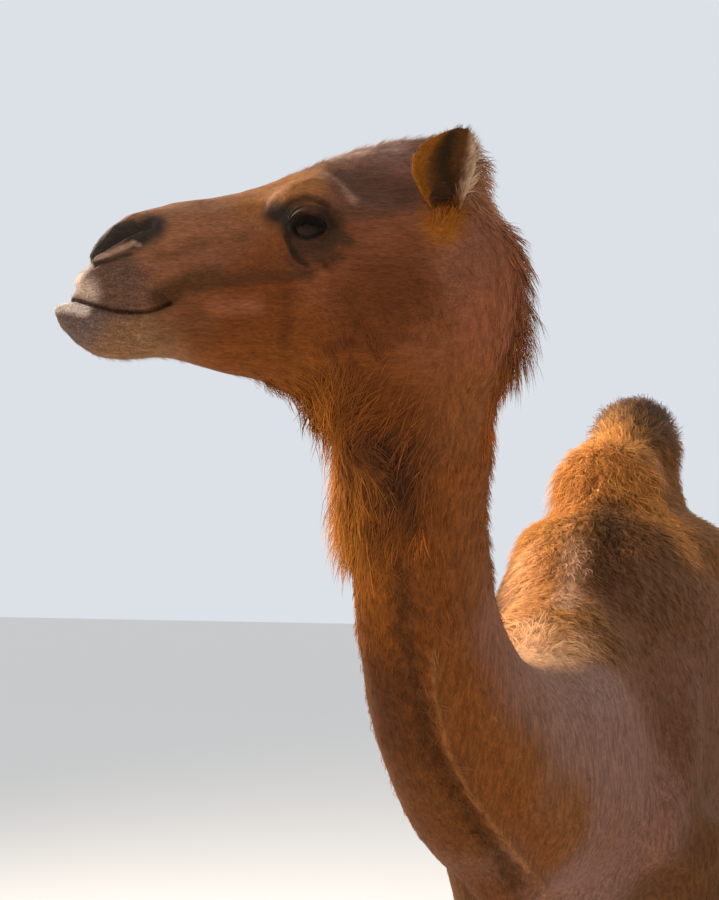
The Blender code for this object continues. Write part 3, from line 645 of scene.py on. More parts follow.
neckHair = {
    "nape": [
        ((62, 2.1, 42, 5, 48), "703c12"),
        ((32, 1.9, 28, 4, 46), "86430c"),
        ((24, 1.7, 30, 3, 34), "74421a"),
        ((24, 1.7, 30, 2, 34), "6c3c1c"),
        ((20, 1.6, 24, 1, 28), "66401f"),
        ((14, 1.6, 7, 1, 12), "64412a"),
        ((16, 1.7, 8, 1, 12), "6a4a38"),
        ((32, 2.0, 24, 5, 34), "b0784a"),
    ],
    "throat": [
        ((50, 2.1, 24, 5, 44), "7c430f"),
        ((66, 2.2, 36, 6, 52), "9a5c1e"),
        ((68, 2.3, 38, 6, 52), "a26424"),
        ((22, 1.9, 18, 3, 34), "874c15"),
        ((17, 1.6, 9, 1, 26), "4e2a0b"),
        ((18, 1.6, 9, 1, 26), "5a320f"),
        ((18, 1.6, 9, 1, 24), "562f10"),
        ((15, 1.7, 8, 1, 12), "654129"),
    ],
    "front": [
        ((34, 1.9, 7, 4, 38), "5c3012"),
        ((46, 2.0, 8, 6, 42), "63340f"),
        ((46, 2.0, 8, 6, 42), "683810"),
        ((24, 1.9, 7, 4, 28), "633511"),
        ((18, 1.6, 9, 2, 26), "6b3c17"),
        ((18, 1.5, 9, 1, 26), "6a3c16"),
        ((18, 1.6, 9, 1, 24), "693e19"),
        ((14, 1.7, 7, 1, 12), "6a4632"),
    ],
    "back": [
        ((20, 1.7, 8, 2, 30), "77452c"),
        ((16, 1.5, 8, 1, 20), "6c3e1d"),
        ((17, 1.5, 8, 1, 24), "683712"),
        ((18, 1.5, 8, 1, 24), "653714"),
        ((18, 1.5, 8, 1, 24), "6a4230"),
        ((18, 1.5, 8, 1, 22), "6a4838"),
        ((13, 1.6, 7, 1, 12), "6c4d40"),
        ((14, 1.7, 7, 1, 12), "6d5045"),
    ],
}
neckSweep = (1.2, 0.95, 0.4, 0.1, 0, 0, 0, 0)  # how far the hair of the sides leans to the throat
neckReach = 0.062

bodyGuides = [  # X from the middle of the trunk, the same on both sides
    ("whorl", (0.058, -1.085, 1.795), 0.042, (-0.9, -0.35, -0.45), (34, 2.0, 12, 5, 38), "55301a"),
    ("chest", (0.0, -0.46, 1.20), 0.14, (0, 0.15, -1), (17, 1.7, 8, 1, 20), "6d4f44"),
    ("breast pad", (0.0, 0.05, 0.93), 0.10, (0, 1, -0.1), (12, 1.8, 8, 1, 8), "5c4435"),
    ("shoulder", (0.20, -0.20, 1.42), 0.15, (0, 0.35, -1), (17, 1.8, 9, 2, 20), "553522"),
    ("point of the shoulder", (0.15, -0.42, 1.26), 0.12, (0, 0.3, -1), (17, 1.7, 8, 1, 20), "6c4c40"),
    ("hump skirt", (0.10, 0.05, 1.755), 0.07, (0.3, -0.3, -1), (52, 2.2, 42, 8, 44), "98602c"),
    ("under the lump", (0.060, 0.115, 1.80), 0.055, (0.5, -0.3, -1), (84, 2.3, 56, 12, 50), "a66a2f"),
    ("wool before the hump", (0.03, -0.14, 1.69), 0.08, (0.1, -0.8, -0.6), (40, 2.1, 30, 8, 42), "8c5a2a"),
    ("arm", (0.22, -0.20, 1.14), 0.12, (0, 0.15, -1), (16, 1.9, 9, 1, 11), "4f3119"),
    ("elbow", (0.20, -0.02, 1.02), 0.09, (0, 0.5, -0.8), (22, 1.9, 14, 2, 12), "5c3b29"),
    ("ribs", (0.28, 0.30, 1.35), 0.20, (0, 0.8, -0.6), (17, 1.9, 9, 1.5, 14), "54341f"),
    ("lower ribs", (0.25, 0.35, 1.12), 0.16, (0, 0.9, -0.35), (16, 1.8, 8, 1, 10), "573823"),
    ("flank", (0.26, 0.70, 1.35), 0.16, (0, 0.8, -0.6), (16, 1.8, 8, 1, 11), "57381f"),
    ("belly", (0.0, 0.35, 0.95), 0.18, (0, 1, -0.05), (18, 1.9, 10, 2, 9), "6b5038"),
    ("groin", (0.12, 0.78, 1.10), 0.12, (0, 0.5, -0.8), (12, 1.7, 7, 1, 8), "66503a"),
    ("rump", (0.17, 0.95, 1.56), 0.16, (0, 0.8, -0.6), (17, 1.9, 9, 1, 11), "5b3b25"),
    ("thigh", (0.23, 0.90, 1.22), 0.16, (0, 0.4, -1), (16, 1.8, 9, 1, 11), "573722"),
    ("buttock", (0.11, 1.12, 1.36), 0.11, (0, 0.15, -1), (18, 1.9, 11, 1, 12), "664630"),
    ("loin", (0.0, 0.90, 1.70), 0.14, (0, 1, -0.1), (20, 1.9, 11, 2, 13), "624028"),
    ("withers", (0.06, -0.42, 1.56), 0.07, (0.6, -0.5, -0.6), (30, 2.0, 24, 6, 34), "9c6834"),
    ("before the hump", (0.16, -0.16, 1.60), 0.10, (0.5, 0.1, -0.9), (26, 2.0, 14, 4, 24), "59381f"),
    ("hump front", (0.0, 0.06, 1.84), 0.10, (0, -0.5, -0.8), (36, 2.2, 40, 9, 50), "a3652d"),
    ("hump top", (0.0, 0.25, 1.98), 0.09, (0, 0.1, 0.6), (44, 2.2, 46, 11, 54), "a0703f"),
    ("hump tuft", (0.02, 0.40, 1.99), 0.09, (0.2, 0.4, 0.9), (58, 2.3, 52, 9, 54), "4b3528"),
    ("hump side", (0.13, 0.30, 1.85), 0.11, (0.1, 0.2, -1), (36, 2.1, 30, 8, 46), "6b4321"),
    ("hump foot", (0.19, 0.30, 1.70), 0.12, (0, 0.4, -0.9), (28, 2.0, 22, 5, 26), "68421f"),
    ("hump back", (0.0, 0.66, 1.79), 0.11, (0, 0.7, -0.6), (28, 2.1, 20, 6, 30), "6b4a2e"),
    ("forearm", (0.165, -0.11, 0.85), 0.14, (0, 0.05, -1), (14, 1.7, 8, 1, 11), "6d4c38"),
    ("knee", (0.155, -0.12, 0.52), 0.12, (0, 0.05, -1), (10, 1.5, 7, 0.5, 9), "765543"),
    ("front shank", (0.155, -0.11, 0.30), 0.13, (0, 0.05, -1), (9, 1.4, 7, 0.5, 10), "7b5a47"),
    ("gaskin", (0.150, 0.90, 0.92), 0.14, (0, 0.35, -1), (14, 1.7, 8, 1, 11), "68462f"),
    ("hock", (0.135, 1.01, 0.64), 0.12, (0, 0.1, -1), (11, 1.5, 7, 0.5, 10), "6d4c38"),
    ("hind shank", (0.140, 1.00, 0.32), 0.15, (0, 0.05, -1), (9, 1.4, 7, 0.5, 10), "775643"),
    ("front foot", (0.160, -0.15, 0.05), 0.09, (0, -0.3, -1), (7, 1.3, 8, 0.3, 11), "6a4e3b"),
    ("hind foot", (0.145, 0.94, 0.05), 0.09, (0, -0.3, -1), (7, 1.3, 8, 0.3, 11), "674c39"),
    ("root of the tail", (0.0, 1.17, 1.45), 0.06, (0, 0.3, -1), (22, 1.9, 12, 2, 22), "5f402b"),
    ("tail", (0.0, 1.245, 1.20), 0.10, (0, 0.05, -1), (30, 1.8, 11, 3, 34), "56382a"),
    ("tail tuft", (0.0, 1.245, 0.92), 0.12, (0, 0, -1), (66, 1.9, 9, 5, 60), "3b2819"),
]
bodyMiddle = middle("trunk")[0]


def allGuides():
    rows = []
    for name, place, reach, comb, hair, colour in headGuides:
        for side in (1, -1) if place[1] else (1,):
            turned = np.array(comb, float) * (1, side, 1) @ headAxes
            rows.append((fromHead(np.array(place) * (1, side, 1)), reach, turned, hair, colour))
    for k, (centre, half, deep, nape, comb) in enumerate(neckLine):
        nape, comb = unit(np.array(nape)), np.array(comb, float)
        left = unit(np.cross(unit(comb), nape))
        places = [("nape", 0, 1), ("throat", 0, -1)]
        for part, share in (("front", -0.6), ("back", 0.55)):
            places += [(part, side * 0.9, share) for side in (1, -1)]
        for part, across, toNape in places:
            hair, colour = neckHair[part][k]
            way = unit(comb) + (0.15 * toNape if across == 0 else -neckSweep[k] * (part == "front")) * nape
            spot = centre + across * left * half + toNape * nape * deep
            rows.append((spot, neckReach, way, hair, colour))
    for name, place, reach, comb, hair, colour in bodyGuides:
        for side in (1, -1) if place[0] else (1,):
            mirror = np.array((side, 1, 1))
            rows.append((np.array(place) * mirror + (bodyMiddle, 0, 0), reach, comb * mirror, hair, colour))
    return rows


guides = allGuides()


def coatAt(points):  # blends the guides near each point: comb direction, hair numbers, colour
    comb, hair, colour = (np.zeros((len(points), n)) for n in (3, 5, 3))
    total = np.zeros(len(points))
    for place, reach, way, numbers, hexColour in guides:
        weight = (1 + (np.linalg.norm(points - place, axis=1) / reach) ** 2) ** -4.0
        total += weight
        comb += weight[:, None] * unit(np.array(way))
        hair += weight[:, None] * np.array(numbers)
        colour += weight[:, None] * np.array(linear(hexColour))
    share = total[:, None]
    return unit(comb), hair / share, colour / share


# Markings, painted shade and painted highlights that are sharper than the guides: name, colour, path, reach
# in mm, softness, strength.
# The head's are the same on both sides.

headMarks = [
    ("brow orange", "7f4c1b", [(0.190, 0.045, 0.060), (0.135, 0.065, 0.082)], 25, 0.8, 0.75),
    ("temple", "4c3427",
     [(0.0, 0.085, 0.060), (0.045, 0.083, 0.072), (0.078, 0.072, 0.088)], 22, 0.6, 0.9),
    # crown: paler hair on the crown, partly a painted sheen on it
    ("crown", "a98877", [(0.085, 0.030, 0.122), (0.010, 0.045, 0.130)], 13, 0.8, 0.6),
    # brow bone: a painted highlight along the ridge behind the brow
    ("brow bone", "9a7561",
     [(0.100, 0.07, 0.100), (0.092, 0.074, 0.080), (0.080, 0.08, 0.060),
      (0.064, 0.085, 0.046)], 5, 1.0, 0.42),
    ("under the temple", "48301f", [(0.078, 0.1, 0.030), (0.020, 0.1, 0.034)], 8, 0.9, 0.55),
    # crease over the eye: painted shade in the crease
    ("crease over the eye", "22170f",
     [(0.162, 0.08, 0.026), (0.139, 0.095, 0.040), (0.120, 0.1, 0.044),
      (0.095, 0.1, 0.036)], 5.5, 0.9, 0.75),
    # painted shadow under the facial crest
    ("crest band", "392313",
     [(0.120, 0.085, -0.048), (0.200, 0.064, -0.054), (0.297, 0.050, -0.062)], 10, 0.9, 0.8),
    ("under the crest", "7d4a30", [(0.235, 0.055, -0.078), (0.185, 0.062, -0.078)], 11, 0.9, 0.7),
    # crease of the cheek and edge of the jaw: painted shade in the crease and along the jaw muscle's groove
    ("crease of the cheek", "4b260d",
     [(0.150, 0.08, -0.060), (0.146, 0.07, -0.100), (0.150, 0.06, -0.130)], 8, 0.9, 0.5),
    ("edge of the jaw", "4a260c",
     [(0.085, 0.09, -0.060), (0.070, 0.085, -0.100), (0.045, 0.08, -0.140)], 11, 0.9, 0.45),
    # round the eye to pouch edge: painted shade round the eye socket, on the upper lid, in both corners,
    # and in the pouch and its folds below
    ("round the eye", "1d150d",
     [(0.146, 0.110, 0.010), (0.117, 0.12, 0.004), (0.083, 0.116, 0.004)], 22, 0.6, 0.93),
    ("upper lid", "2b1e15", [(0.130, 0.115, 0.030), (0.100, 0.115, 0.030)], 6, 0.8, 0.5),
    ("inner corner", "120d08",
     [(0.168, 0.078, 0.032), (0.150, 0.092, 0.022), (0.143, 0.094, 0.006)], 14, 0.85, 0.95),
    ("outer corner", "382617", [(0.088, 0.108, -0.002), (0.068, 0.106, -0.004)], 8, 0.8, 0.85),
    ("pouch", "33221a", [(0.135, 0.105, -0.018), (0.102, 0.108, -0.018)], 17, 0.6, 0.8),
    ("pouch line", "1c1209",
     [(0.150, 0.088, -0.004), (0.139, 0.095, -0.022), (0.124, 0.098, -0.041)], 5, 0.8, 0.85),
    ("pouch edge", "2e1c0f",
     [(0.116, 0.098, -0.042), (0.096, 0.100, -0.038), (0.080, 0.104, -0.024)], 7, 0.9, 0.5),
    # nostril and under the wing: painted shade in the nostril's opening and under its wing
    ("nostril", "2a2622",
     [(0.380, 0.030, -0.008), (0.350, 0.040, 0.012), (0.318, 0.042, 0.024)], 20, 0.45, 0.95),
    ("under the wing", "2a2019",
     [(0.388, 0.034, -0.027), (0.362, 0.042, -0.023), (0.336, 0.046, -0.015)], 3.5, 0.7, 0.8),
    ("wing of the nostril", "8a705e",
     [(0.380, 0.036, -0.020), (0.362, 0.042, -0.014), (0.344, 0.046, -0.008),
      (0.327, 0.046, -0.001)], 3.2, 0.6, 0.95),
    # lip rim: a painted highlight; front of the lip: paler hair with a painted highlight on it
    ("lip rim", "c9b5a6",
     [(0.438, 0.005, -0.076), (0.420, 0.028, -0.075), (0.392, 0.040, -0.082)], 8, 0.6, 0.85),
    ("front of the lip", "bda592", [(0.402, 0.008, -0.035), (0.388, 0.034, -0.055)], 15, 0.9, 0.8),
    # corner of the mouth: painted shade round the mouth's corner
    ("corner of the mouth", "452c14",
     [(0.295, 0.048, -0.074), (0.270, 0.050, -0.050), (0.236, 0.056, -0.042)], 13, 0.9, 0.8),
    # folds of the nose: painted shade in the folds down the side of the nose
    ("folds of the nose", "55361e",
     [(0.300, 0.05, -0.016), (0.250, 0.055, 0.000), (0.190, 0.06, 0.006)], 7, 0.9, 0.5),
    ("side of the chin", "5a3a20", [(0.290, 0.04, -0.112), (0.240, 0.05, -0.100)], 12, 0.9, 0.5),
    # hollow of the ear: painted shade in the ear's cup
    ("hollow of the ear", "2b1a0c", [(-0.042, 0.09, 0.052), (-0.056, 0.09, 0.050)], 15, 0.5, 0.95),
    ("foot of the ear", "7d4610",
     [(-0.036, 0.09, 0.022), (-0.052, 0.09, 0.018), (-0.060, 0.09, 0.030)], 13, 0.8, 0.8),
]
bodyMarks = [
    ("whorl of the neck", "2c190f",
     [(0.030, -1.108, 1.815), (0.056, -1.085, 1.785), (0.060, -1.065, 1.725)], 22, 0.9, 0.8),
    ("shoulder edge", "7a5140",
     [(0.231, -0.337, 1.348), (0.246, -0.350, 1.220), (0.216, -0.320, 1.130)], 12, 0.9, 0.25),
    # withers ridge: painted highlight along the ridge of the withers
    ("withers ridge", "c9956a",
     [(0.040, -0.430, 1.555), (0.075, -0.560, 1.505), (0.117, -0.500, 1.505),
      (0.132, -0.430, 1.530)], 28, 0.9, 0.8),
    ("wool of the hump", "97602a",
     [(-0.015, 0.121, 1.817), (-0.058, 0.118, 1.734), (-0.014, -0.178, 1.65),
      (0.034, -0.36, 1.580)], 60, 0.8, 0.85),
    ("foot of the wool", "bd8355",
     [(-0.045, -0.10, 1.66), (-0.030, -0.24, 1.61), (-0.010, -0.38, 1.56)], 42, 0.9, 0.6),
    ("front of the hump", "b27236", [(0.035, 0.188, 1.905), (0.060, 0.12, 1.830)], 75, 0.8, 0.8),
    # dark of the hump, side of the hump and right of the hump: painted shade on the hump's left side and
    # down the left of its front
    ("dark of the hump", "332011",
     [(0.083, 0.045, 1.760), (0.105, -0.08, 1.720), (0.120, -0.16, 1.670),
      (0.130, -0.24, 1.620)], 36, 0.9, 0.8),
    ("side of the hump", "523117", [(0.155, 0.04, 1.755), (0.170, -0.04, 1.70)], 42, 0.9, 0.7),
    ("pale streak", "a07a60",
     [(0.052, -0.08, 1.700), (0.072, -0.25, 1.630), (0.085, -0.36, 1.575)], 20, 0.9, 0.75),
    ("right of the hump", "55341b",
     [(0.204, -0.095, 1.650), (0.175, -0.26, 1.578), (0.175, -0.36, 1.520),
      (0.255, -0.073, 1.576)], 72, 0.8, 0.8),
    # front of the neck and its front edge: painted shade down the front of the neck
    ("front of the neck", "42210a",
     [onNeck(3.5, 0.1, -1.0), onNeck(5.0, 0.1, -1.0), onNeck(6.3, 0.1, -1.0)], 85, 0.8, 0.12),
    ("front edge of the neck", "3a1c08",
     [onNeck(3.3, 0.0, -1.0), onNeck(4.3, 0.0, -1.0), onNeck(6.3, 0.0, -1.0)], 44, 0.8, 0.42),
    ("hump tuft", "3f2c20",
     [(0.10, 0.33, 1.955), (0.05, 0.42, 1.99), (0.02, 0.50, 1.93)], 60, 0.6, 0.85),
    ("knee pad left", "5a493d", [(0.220, -0.20, 0.520)], 40, 0.6, 0.7),
    ("knee pad right", "5a493d", [(-0.091, -0.12, 0.520)], 40, 0.6, 0.7),
]
neckMarks = [  # fold, colour, reach in mm, softness, strength
    # groove of the neck: painted shade in the groove; cord of the neck: painted highlight along the cord
    ("behind the cord", "673812", 24, 0.9, 0.8),
    ("groove of the neck", "432710", 11, 0.9, 0.7),
    ("cord of the neck", "85572f", 3.5, 0.9, 0.45),
]
# Along the mouth, where the lips meet: the shade fades out and is full so many metres from the line
mouthShade = {"colour": "27180f", "strength": 0.62, "fades": 0.0036, "full": 0.0012}
earColours = {
    "outside": "6b4632",
    "inside": "50300e",
    # hollow: painted shade in the cup
    "hollow": "1c1408",
    "back rim": "b89a7e",
    "front edge": "7e480c",
    "foot": "7d4610",
}
earHollow = [(-0.051, 0.118), (-0.044, 0.090), (-0.050, 0.062)]  # where the cup's hollow takes painted shade: x and z in the head's axes


def layMarks(mesh):  # lays the head's markings and painted shade on the skin, and adds the neck's painted shade and highlight
    tree = skinTree(mesh)
    for k, mark in enumerate(headMarks):
        line = inHead(laidOn(tree, fromHead(np.array(mark[2]))))
        line[:, 1] = np.abs(line[:, 1])
        headMarks[k] = (*mark[:2], line, *mark[3:])
    for name, hexColour, *rest in neckMarks:
        bodyMarks.extend((name, hexColour, line, *rest) for line in neckPaths(name, tree))


def marked(points, colour):  # paints the markings, painted shade and painted highlights over the guides' colours
    local = inHead(points)
    onHead = headShare(points)
    local[:, 1] = np.abs(local[:, 1])
    for marks, where, share in ((headMarks, local, onHead), (bodyMarks, points, 1 - onHead)):
        for name, hexColour, path, reach, softness, strength in marks:
            far = toPath(where, path) / (reach / 1000)
            colour = painted(colour, hexColour, strength * ease(1 + softness, 1 - softness, far) * share)
    toMouth = toPath(local[:, (0, 2)], mouthLine)
    shut = mouthShade["strength"] * ease(mouthShade["fades"], mouthShade["full"], toMouth) * onHead
    return painted(colour, mouthShade["colour"], shut)


def earColour(points, normals, colour):  # dark inside the cup with painted shade in its hollow, orange in front, a pale tufted rim behind
    local, facing = inHead(points), normals @ headAxes.T
    side = np.sign(local[:, 1])
    share, high = earShare(local), local[:, 2]
    inside = ease(0.0, 0.5, facing[:, 1] * side + 0.2 * facing[:, 0])
    weights = {
        "outside": np.ones(len(points)),
        "inside": inside,
        # painted shade, deepest in the cup's hollow
        "hollow": inside * np.exp(-((toPath(local[:, (0, 2)], earHollow) / 0.014) ** 2)),
        "back rim": ease(0.76, 0.96, share) * ease(0.03, 0.06, high),
        "front edge": ease(0.34, 0.12, share),
        "foot": ease(0.052, 0.030, high),
    }
    for part, weight in weights.items():
        colour = painted(colour, earColours[part], 0.9 * weight)
    return colour


# Coat: closed three-sided locks, five to a tuft, each tuft rooted in the skin

coatSettings = {
    "locksPerTuft": 5,
    "fineness": 0.62,
    "density": 1.35,
    "longer": 19,  # mm: locks longer than this have more rings
    "tone": 1.33,  # the colours are as seen in soft shade, and the hair itself is paler
    "patch": 0.003,  # how much of the OFBake map a tuft covers
    "unwrapShare": 0.12,  # how many of the skin's faces the unwrapped copy keeps
    "sunk": 0.0012,  # metres that the roots sit under the skin
    "spread": 0.62,  # how far a tuft's locks stand apart, as a share of its own room
    "gather": 0.55,  # how much the locks draw together at the tip
    "bend": 0.42,  # how far the tips lean back to the skin
    "sagFrom": 0.03,  # metres: what is longer hangs, by the next share
    "sag": 0.35,
    "lowest": 0.0005,  # metres over the floor
    "profileAt": (0, 0.28, 0.6, 0.85, 1),  # shares of the length, and the width there
    "profile": (0.75, 1, 0.82, 0.5, 0),
    "shade": (0.80, 1.0, 1.14),  # tone at the root, the middle and the tip; the darker root is painted shade among the locks
}
variety = {  # how much the tufts differ from each other, and then the locks of one tuft
    "length": (0.85, 1.15),
    "swing": (5, 16),  # degrees: everywhere, and more where the hair is curly
    "turns": (2.0, 4.0, (0.6, 1.3)),
    "tone": (0.17, 0.07, -0.09),  # everywhere, where the hair stands out, and on the head
    "contrast": (0.30, 0.12, -0.10, 0.25),  # the same, and on the muzzle
    "lockLength": (0.72, 1.18),
    "lockWidth": (0.75, 1.25),
    "lockLift": (0.4, 1.5),
    "lockSwing": 6,
    "lockSpread": 0.55,
    "lockPhase": 0.7,
}
# hair of the ears all over, what the tip adds, what the back rim adds
earHair = np.array([(13, 1.1, 14, 2, 220), (-7, 0, -4, 0, 0), (5, 0, 14, 0, 0)])
grooveHair = np.array((23, 1.6, 18, 8, 34))
# where the bristles begin and are full, in the head's axes
muzzleHair = {"from": (0.27, 0.33), "under": (-0.015, -0.035)}


def lockShape(rings):  # one lock: X across, Y out of the skin, Z from root to tip, 0 to 1
    bm = bmesh.new()
    bmesh.ops.create_cone(bm, cap_ends=True, segments=3, radius1=1, radius2=0, depth=1)
    bmesh.ops.translate(bm, vec=(0, 0, 0.5), verts=bm.verts)
    for height in rings:
        geom = bm.verts[:] + bm.edges[:] + bm.faces[:]
        bmesh.ops.bisect_plane(bm, geom=geom, plane_co=(0, 0, height), plane_no=(0, 0, 1))
    bmesh.ops.remove_doubles(bm, verts=bm.verts, dist=1e-5)
    bmesh.ops.recalc_face_normals(bm, faces=bm.faces)
    bm.verts.index_update()
    shape = np.array([vert.co for vert in bm.verts])
    across = shape[:, :2] / np.maximum(1 - shape[:, 2:], 1e-6)
    across[shape[:, 2] > 0.999] = 0
    turn = math.radians(90) - math.atan2(across[0, 1], across[0, 0])
    spin = np.array(((math.cos(turn), math.sin(turn)), (-math.sin(turn), math.cos(turn))))
    across = across @ spin * (0.58, 0.30)
    faces = [[vert.index for vert in face.verts] for face in bm.faces]
    bm.free()
    return across, shape[:, 2], faces


shortLock, longLock = lockShape([]), lockShape([0.33, 0.7])


def unwrapSkin(mesh):  # a light copy of the skin, unwrapped, to say where each tuft's patch lies
    holder = addObject("unwrapped", mesh.copy())
    thin = holder.modifiers.new("thin", "DECIMATE")
    thin.ratio = coatSettings["unwrapShare"]
    light = shapedMesh(holder)
    holder.modifiers.clear()
    holder.data = light
    bpy.context.view_layer.objects.active = holder
    holder.select_set(True)
    bpy.ops.object.mode_set(mode="EDIT")
    bpy.ops.mesh.select_all(action="SELECT")
    bpy.ops.mesh.quads_convert_to_tris()
    bpy.ops.uv.smart_project(angle_limit=math.radians(66), island_margin=0.001)
    bpy.ops.object.mode_set(mode="OBJECT")
    uv = np.empty(len(light.loops) * 2)
    light.uv_layers.active.data.foreach_get("uv", uv)
    corners = np.empty(len(light.loops), np.int32)
    light.loops.foreach_get("vertex_index", corners)
    where = wherePoints(light)
    triangles = corners.reshape(-1, 3)
    tree = BVHTree.FromPolygons(where.tolist(), triangles.tolist())
    bpy.data.objects.remove(holder)
    return tree, where[triangles], uv.reshape(-1, 3, 2)


def patchPlaces(points, unwrapped):
    tree, corners, uv = unwrapped
    hits = [tree.find_nearest(point) for point in points.tolist()]
    face = np.array([hit[2] for hit in hits])
    spot = np.array([hit[0] for hit in hits])
    a, b, c = (corners[face, k] for k in range(3))
    shares = []
    for p, q in ((b, c), (c, a), (a, b)):
        shares.append(np.linalg.norm(np.cross(p - spot, q - spot), axis=1) + 1e-12)
    shares = np.array(shares).T
    shares /= shares.sum(axis=1, keepdims=True)
    return np.einsum("ij,ijk->ik", shares, uv[face])


def muzzle(points):  # 1 on the lips and the chin, where bristles stand in the short hair
    flat = sideView(points)
    share = ease(*muzzleHair["from"], flat[:, 0]) * ease(*muzzleHair["under"], flat[:, 1])
    return share * headShare(points)


def bare(points):  # no hair in the mouth and nostrils or on the lids' rims
    local = inHead(points)
    flat = local[:, (0, 2)]
    hidden = (toPath(flat, mouthLine) < 0.0035) | (toPath(flat, folds[0][1]) < 0.006)
    local[:, 1] = np.abs(local[:, 1])
    lidPlace = eyeInHead + (0, 0.012, -0.004)
    hidden |= np.linalg.norm((local - lidPlace) / (0.024, 0.02, 0.018), axis=1) < 1
    return hidden & (headShare(points) > 0.5)


def plantTufts(mesh, isEar):  # spreads the roots over the skin, as close as the guides say
    corners = cornersOf(mesh)
    where, normals = wherePoints(mesh), pointNormals(mesh)
    a, b, c = (where[corners[:, k]] for k in range(3))
    size = np.linalg.norm(np.cross(b - a, c - a), axis=1) / 2
    middles = where[corners].mean(axis=1)
    hair = coatAt(middles)[1]
    hair[isEar[corners[:, 0]], 4] = earHair[0, 4]
    wanted = size * hair[:, 4] * coatSettings["density"] * 1000 / coatSettings["locksPerTuft"]
    wanted[bare(middles) | (middles[:, 2] < 0.004)] = 0
    ladder = np.cumsum(wanted)
    count = int(ladder[-1])
    face = np.searchsorted(ladder, (np.arange(count) + rng.random(count)) * ladder[-1] / count)
    face = np.minimum(face, len(ladder) - 1)
    r = np.sqrt(rng.random(count))
    s = rng.random(count)
    shares = np.stack((1 - r, r * (1 - s), r * s), axis=1)
    roots = np.einsum("ij,ijk->ik", shares, where[corners[face]])
    out = unit(np.einsum("ij,ijk->ik", shares, normals[corners[face]]))
    return roots, out, isEar[corners[face, 0]]


def alongSkin(comb, out):
    return unit(comb - (comb * out).sum(axis=1, keepdims=True) * out)


def growLocks(name, tufts, shape):
    across, along, faces = shape
    m = coatSettings["locksPerTuft"]
    count = len(tufts["root"]) * m

    def each(key):
        return np.repeat(tufts[key], m, axis=0)

    root, out, comb = each("root"), each("out"), each("comb")
    length, width, lift, curl, dense = each("hair").T
    length, width, curl = length / 1000, width * coatSettings["fineness"] / 1000, curl / 1000
    spread = coatSettings["spread"] * np.sqrt(m / (dense * 1000))
    length = length * rng.uniform(*variety["lockLength"], count)
    width = width * rng.uniform(*variety["lockWidth"], count)
    lift = np.radians(lift * rng.uniform(*variety["lockLift"], count))
    swing = np.radians(rng.normal(0, variety["lockSwing"], count) + each("swing"))
    side = np.cross(out, comb)
    way = comb * np.cos(swing)[:, None] + side * np.sin(swing)[:, None]
    side = np.cross(out, way)
    offset = (rng.normal(0, variety["lockSpread"], count) * spread)[:, None] * side
    offset = offset + (rng.normal(0, variety["lockSpread"], count) * spread)[:, None] * way
    phase = each("phase") + rng.normal(0, variety["lockPhase"], count)
    turns = each("turns")

    def onLock(directions, amounts):  # moves every point of every lock along its own direction
        return directions[:, None, :] * amounts[:, :, None]

    profile = np.interp(along, coatSettings["profileAt"], coatSettings["profile"])
    angle = phase[:, None] + turns[:, None] * along
    wave = np.sin(angle) - np.sin(phase)[:, None]
    roll = np.cos(angle) - np.cos(phase)[:, None]
    sag = np.maximum(length - coatSettings["sagFrom"], 0) * coatSettings["sag"]
    broad = width[:, None] * profile
    spots = (root - coatSettings["sunk"] * out)[:, None, :]
    spots = spots + onLock(offset, np.tile(1 - coatSettings["gather"] * along, (count, 1)))
    spots = spots + onLock(way, (length * np.cos(lift))[:, None] * along)
    rise = along - coatSettings["bend"] * along**2
    spots = spots + onLock(out, (length * np.sin(lift))[:, None] * rise)
    spots = spots + onLock(side, curl[:, None] * wave * along + across[:, 0] * broad)
    spots = spots + onLock(out, 0.5 * curl[:, None] * (roll + 0.6) * along + across[:, 1] * broad)
    spots[:, :, 2] = np.maximum(spots[:, :, 2] - sag[:, None] * along**2, coatSettings["lowest"])

    # each lock darker towards its root: painted shade among the locks
    shade = np.interp(along, (0, 0.5, 1), coatSettings["shade"])
    tone = each("tone") * np.exp(rng.uniform(-1, 1, count) * each("contrast"))
    colour = onLock(each("colour"), tone[:, None] * shade)
    corners = np.concatenate([np.array(face) for face in faces])
    starts = np.cumsum([0] + [len(face) for face in faces])[:-1]
    loops = (corners[None, :] + np.arange(count)[:, None] * len(along)).ravel()
    begins = (starts[None, :] + np.arange(count)[:, None] * len(corners)).ravel()
    mesh = bpy.data.meshes.new(name)
    mesh.vertices.add(count * len(along))
    mesh.vertices.foreach_set("co", spots.reshape(-1))
    mesh.loops.add(len(loops))
    mesh.loops.foreach_set("vertex_index", loops)
    mesh.polygons.add(len(begins))
    mesh.polygons.foreach_set("loop_start", begins)
    mesh.update(calc_edges=True)
    colourAttribute(mesh, "markings", colour.reshape(-1, 3))
    patch = np.stack((across[:, 0] / 1.2, along - 0.5), axis=1)[corners] * coatSettings["patch"]
    bakeMap = mesh.uv_layers.new(name="OFBake")
    bakeMap.data.foreach_set("uv", np.clip(each("patch")[:, None, :] + patch[None], 0, 1).ravel())
    mesh.shade_smooth()
    facing = out[:, None, :] + 0.8 * across[:, 0][None, :, None] * side[:, None, :]
    mesh.normals_split_custom_set_from_vertices(unit(facing).reshape(-1, 3))
    mesh.materials.append(coatMaterial)
    piece = addObject(name, mesh)
    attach(piece, "root")
    print(name, count, "locks,", sum(len(face) - 2 for face in faces) * count, "triangles")


# Materials


def addNode(tree, kind, settings=(), links=()):
    node = tree.nodes.new(kind)
    for key, value in dict(settings).items():
        if key in node.inputs:
            node.inputs[key].default_value = value
        else:
            setattr(node, key, value)
    for key, source in dict(links).items():
        tree.links.new(source, node.inputs[key])
    return node


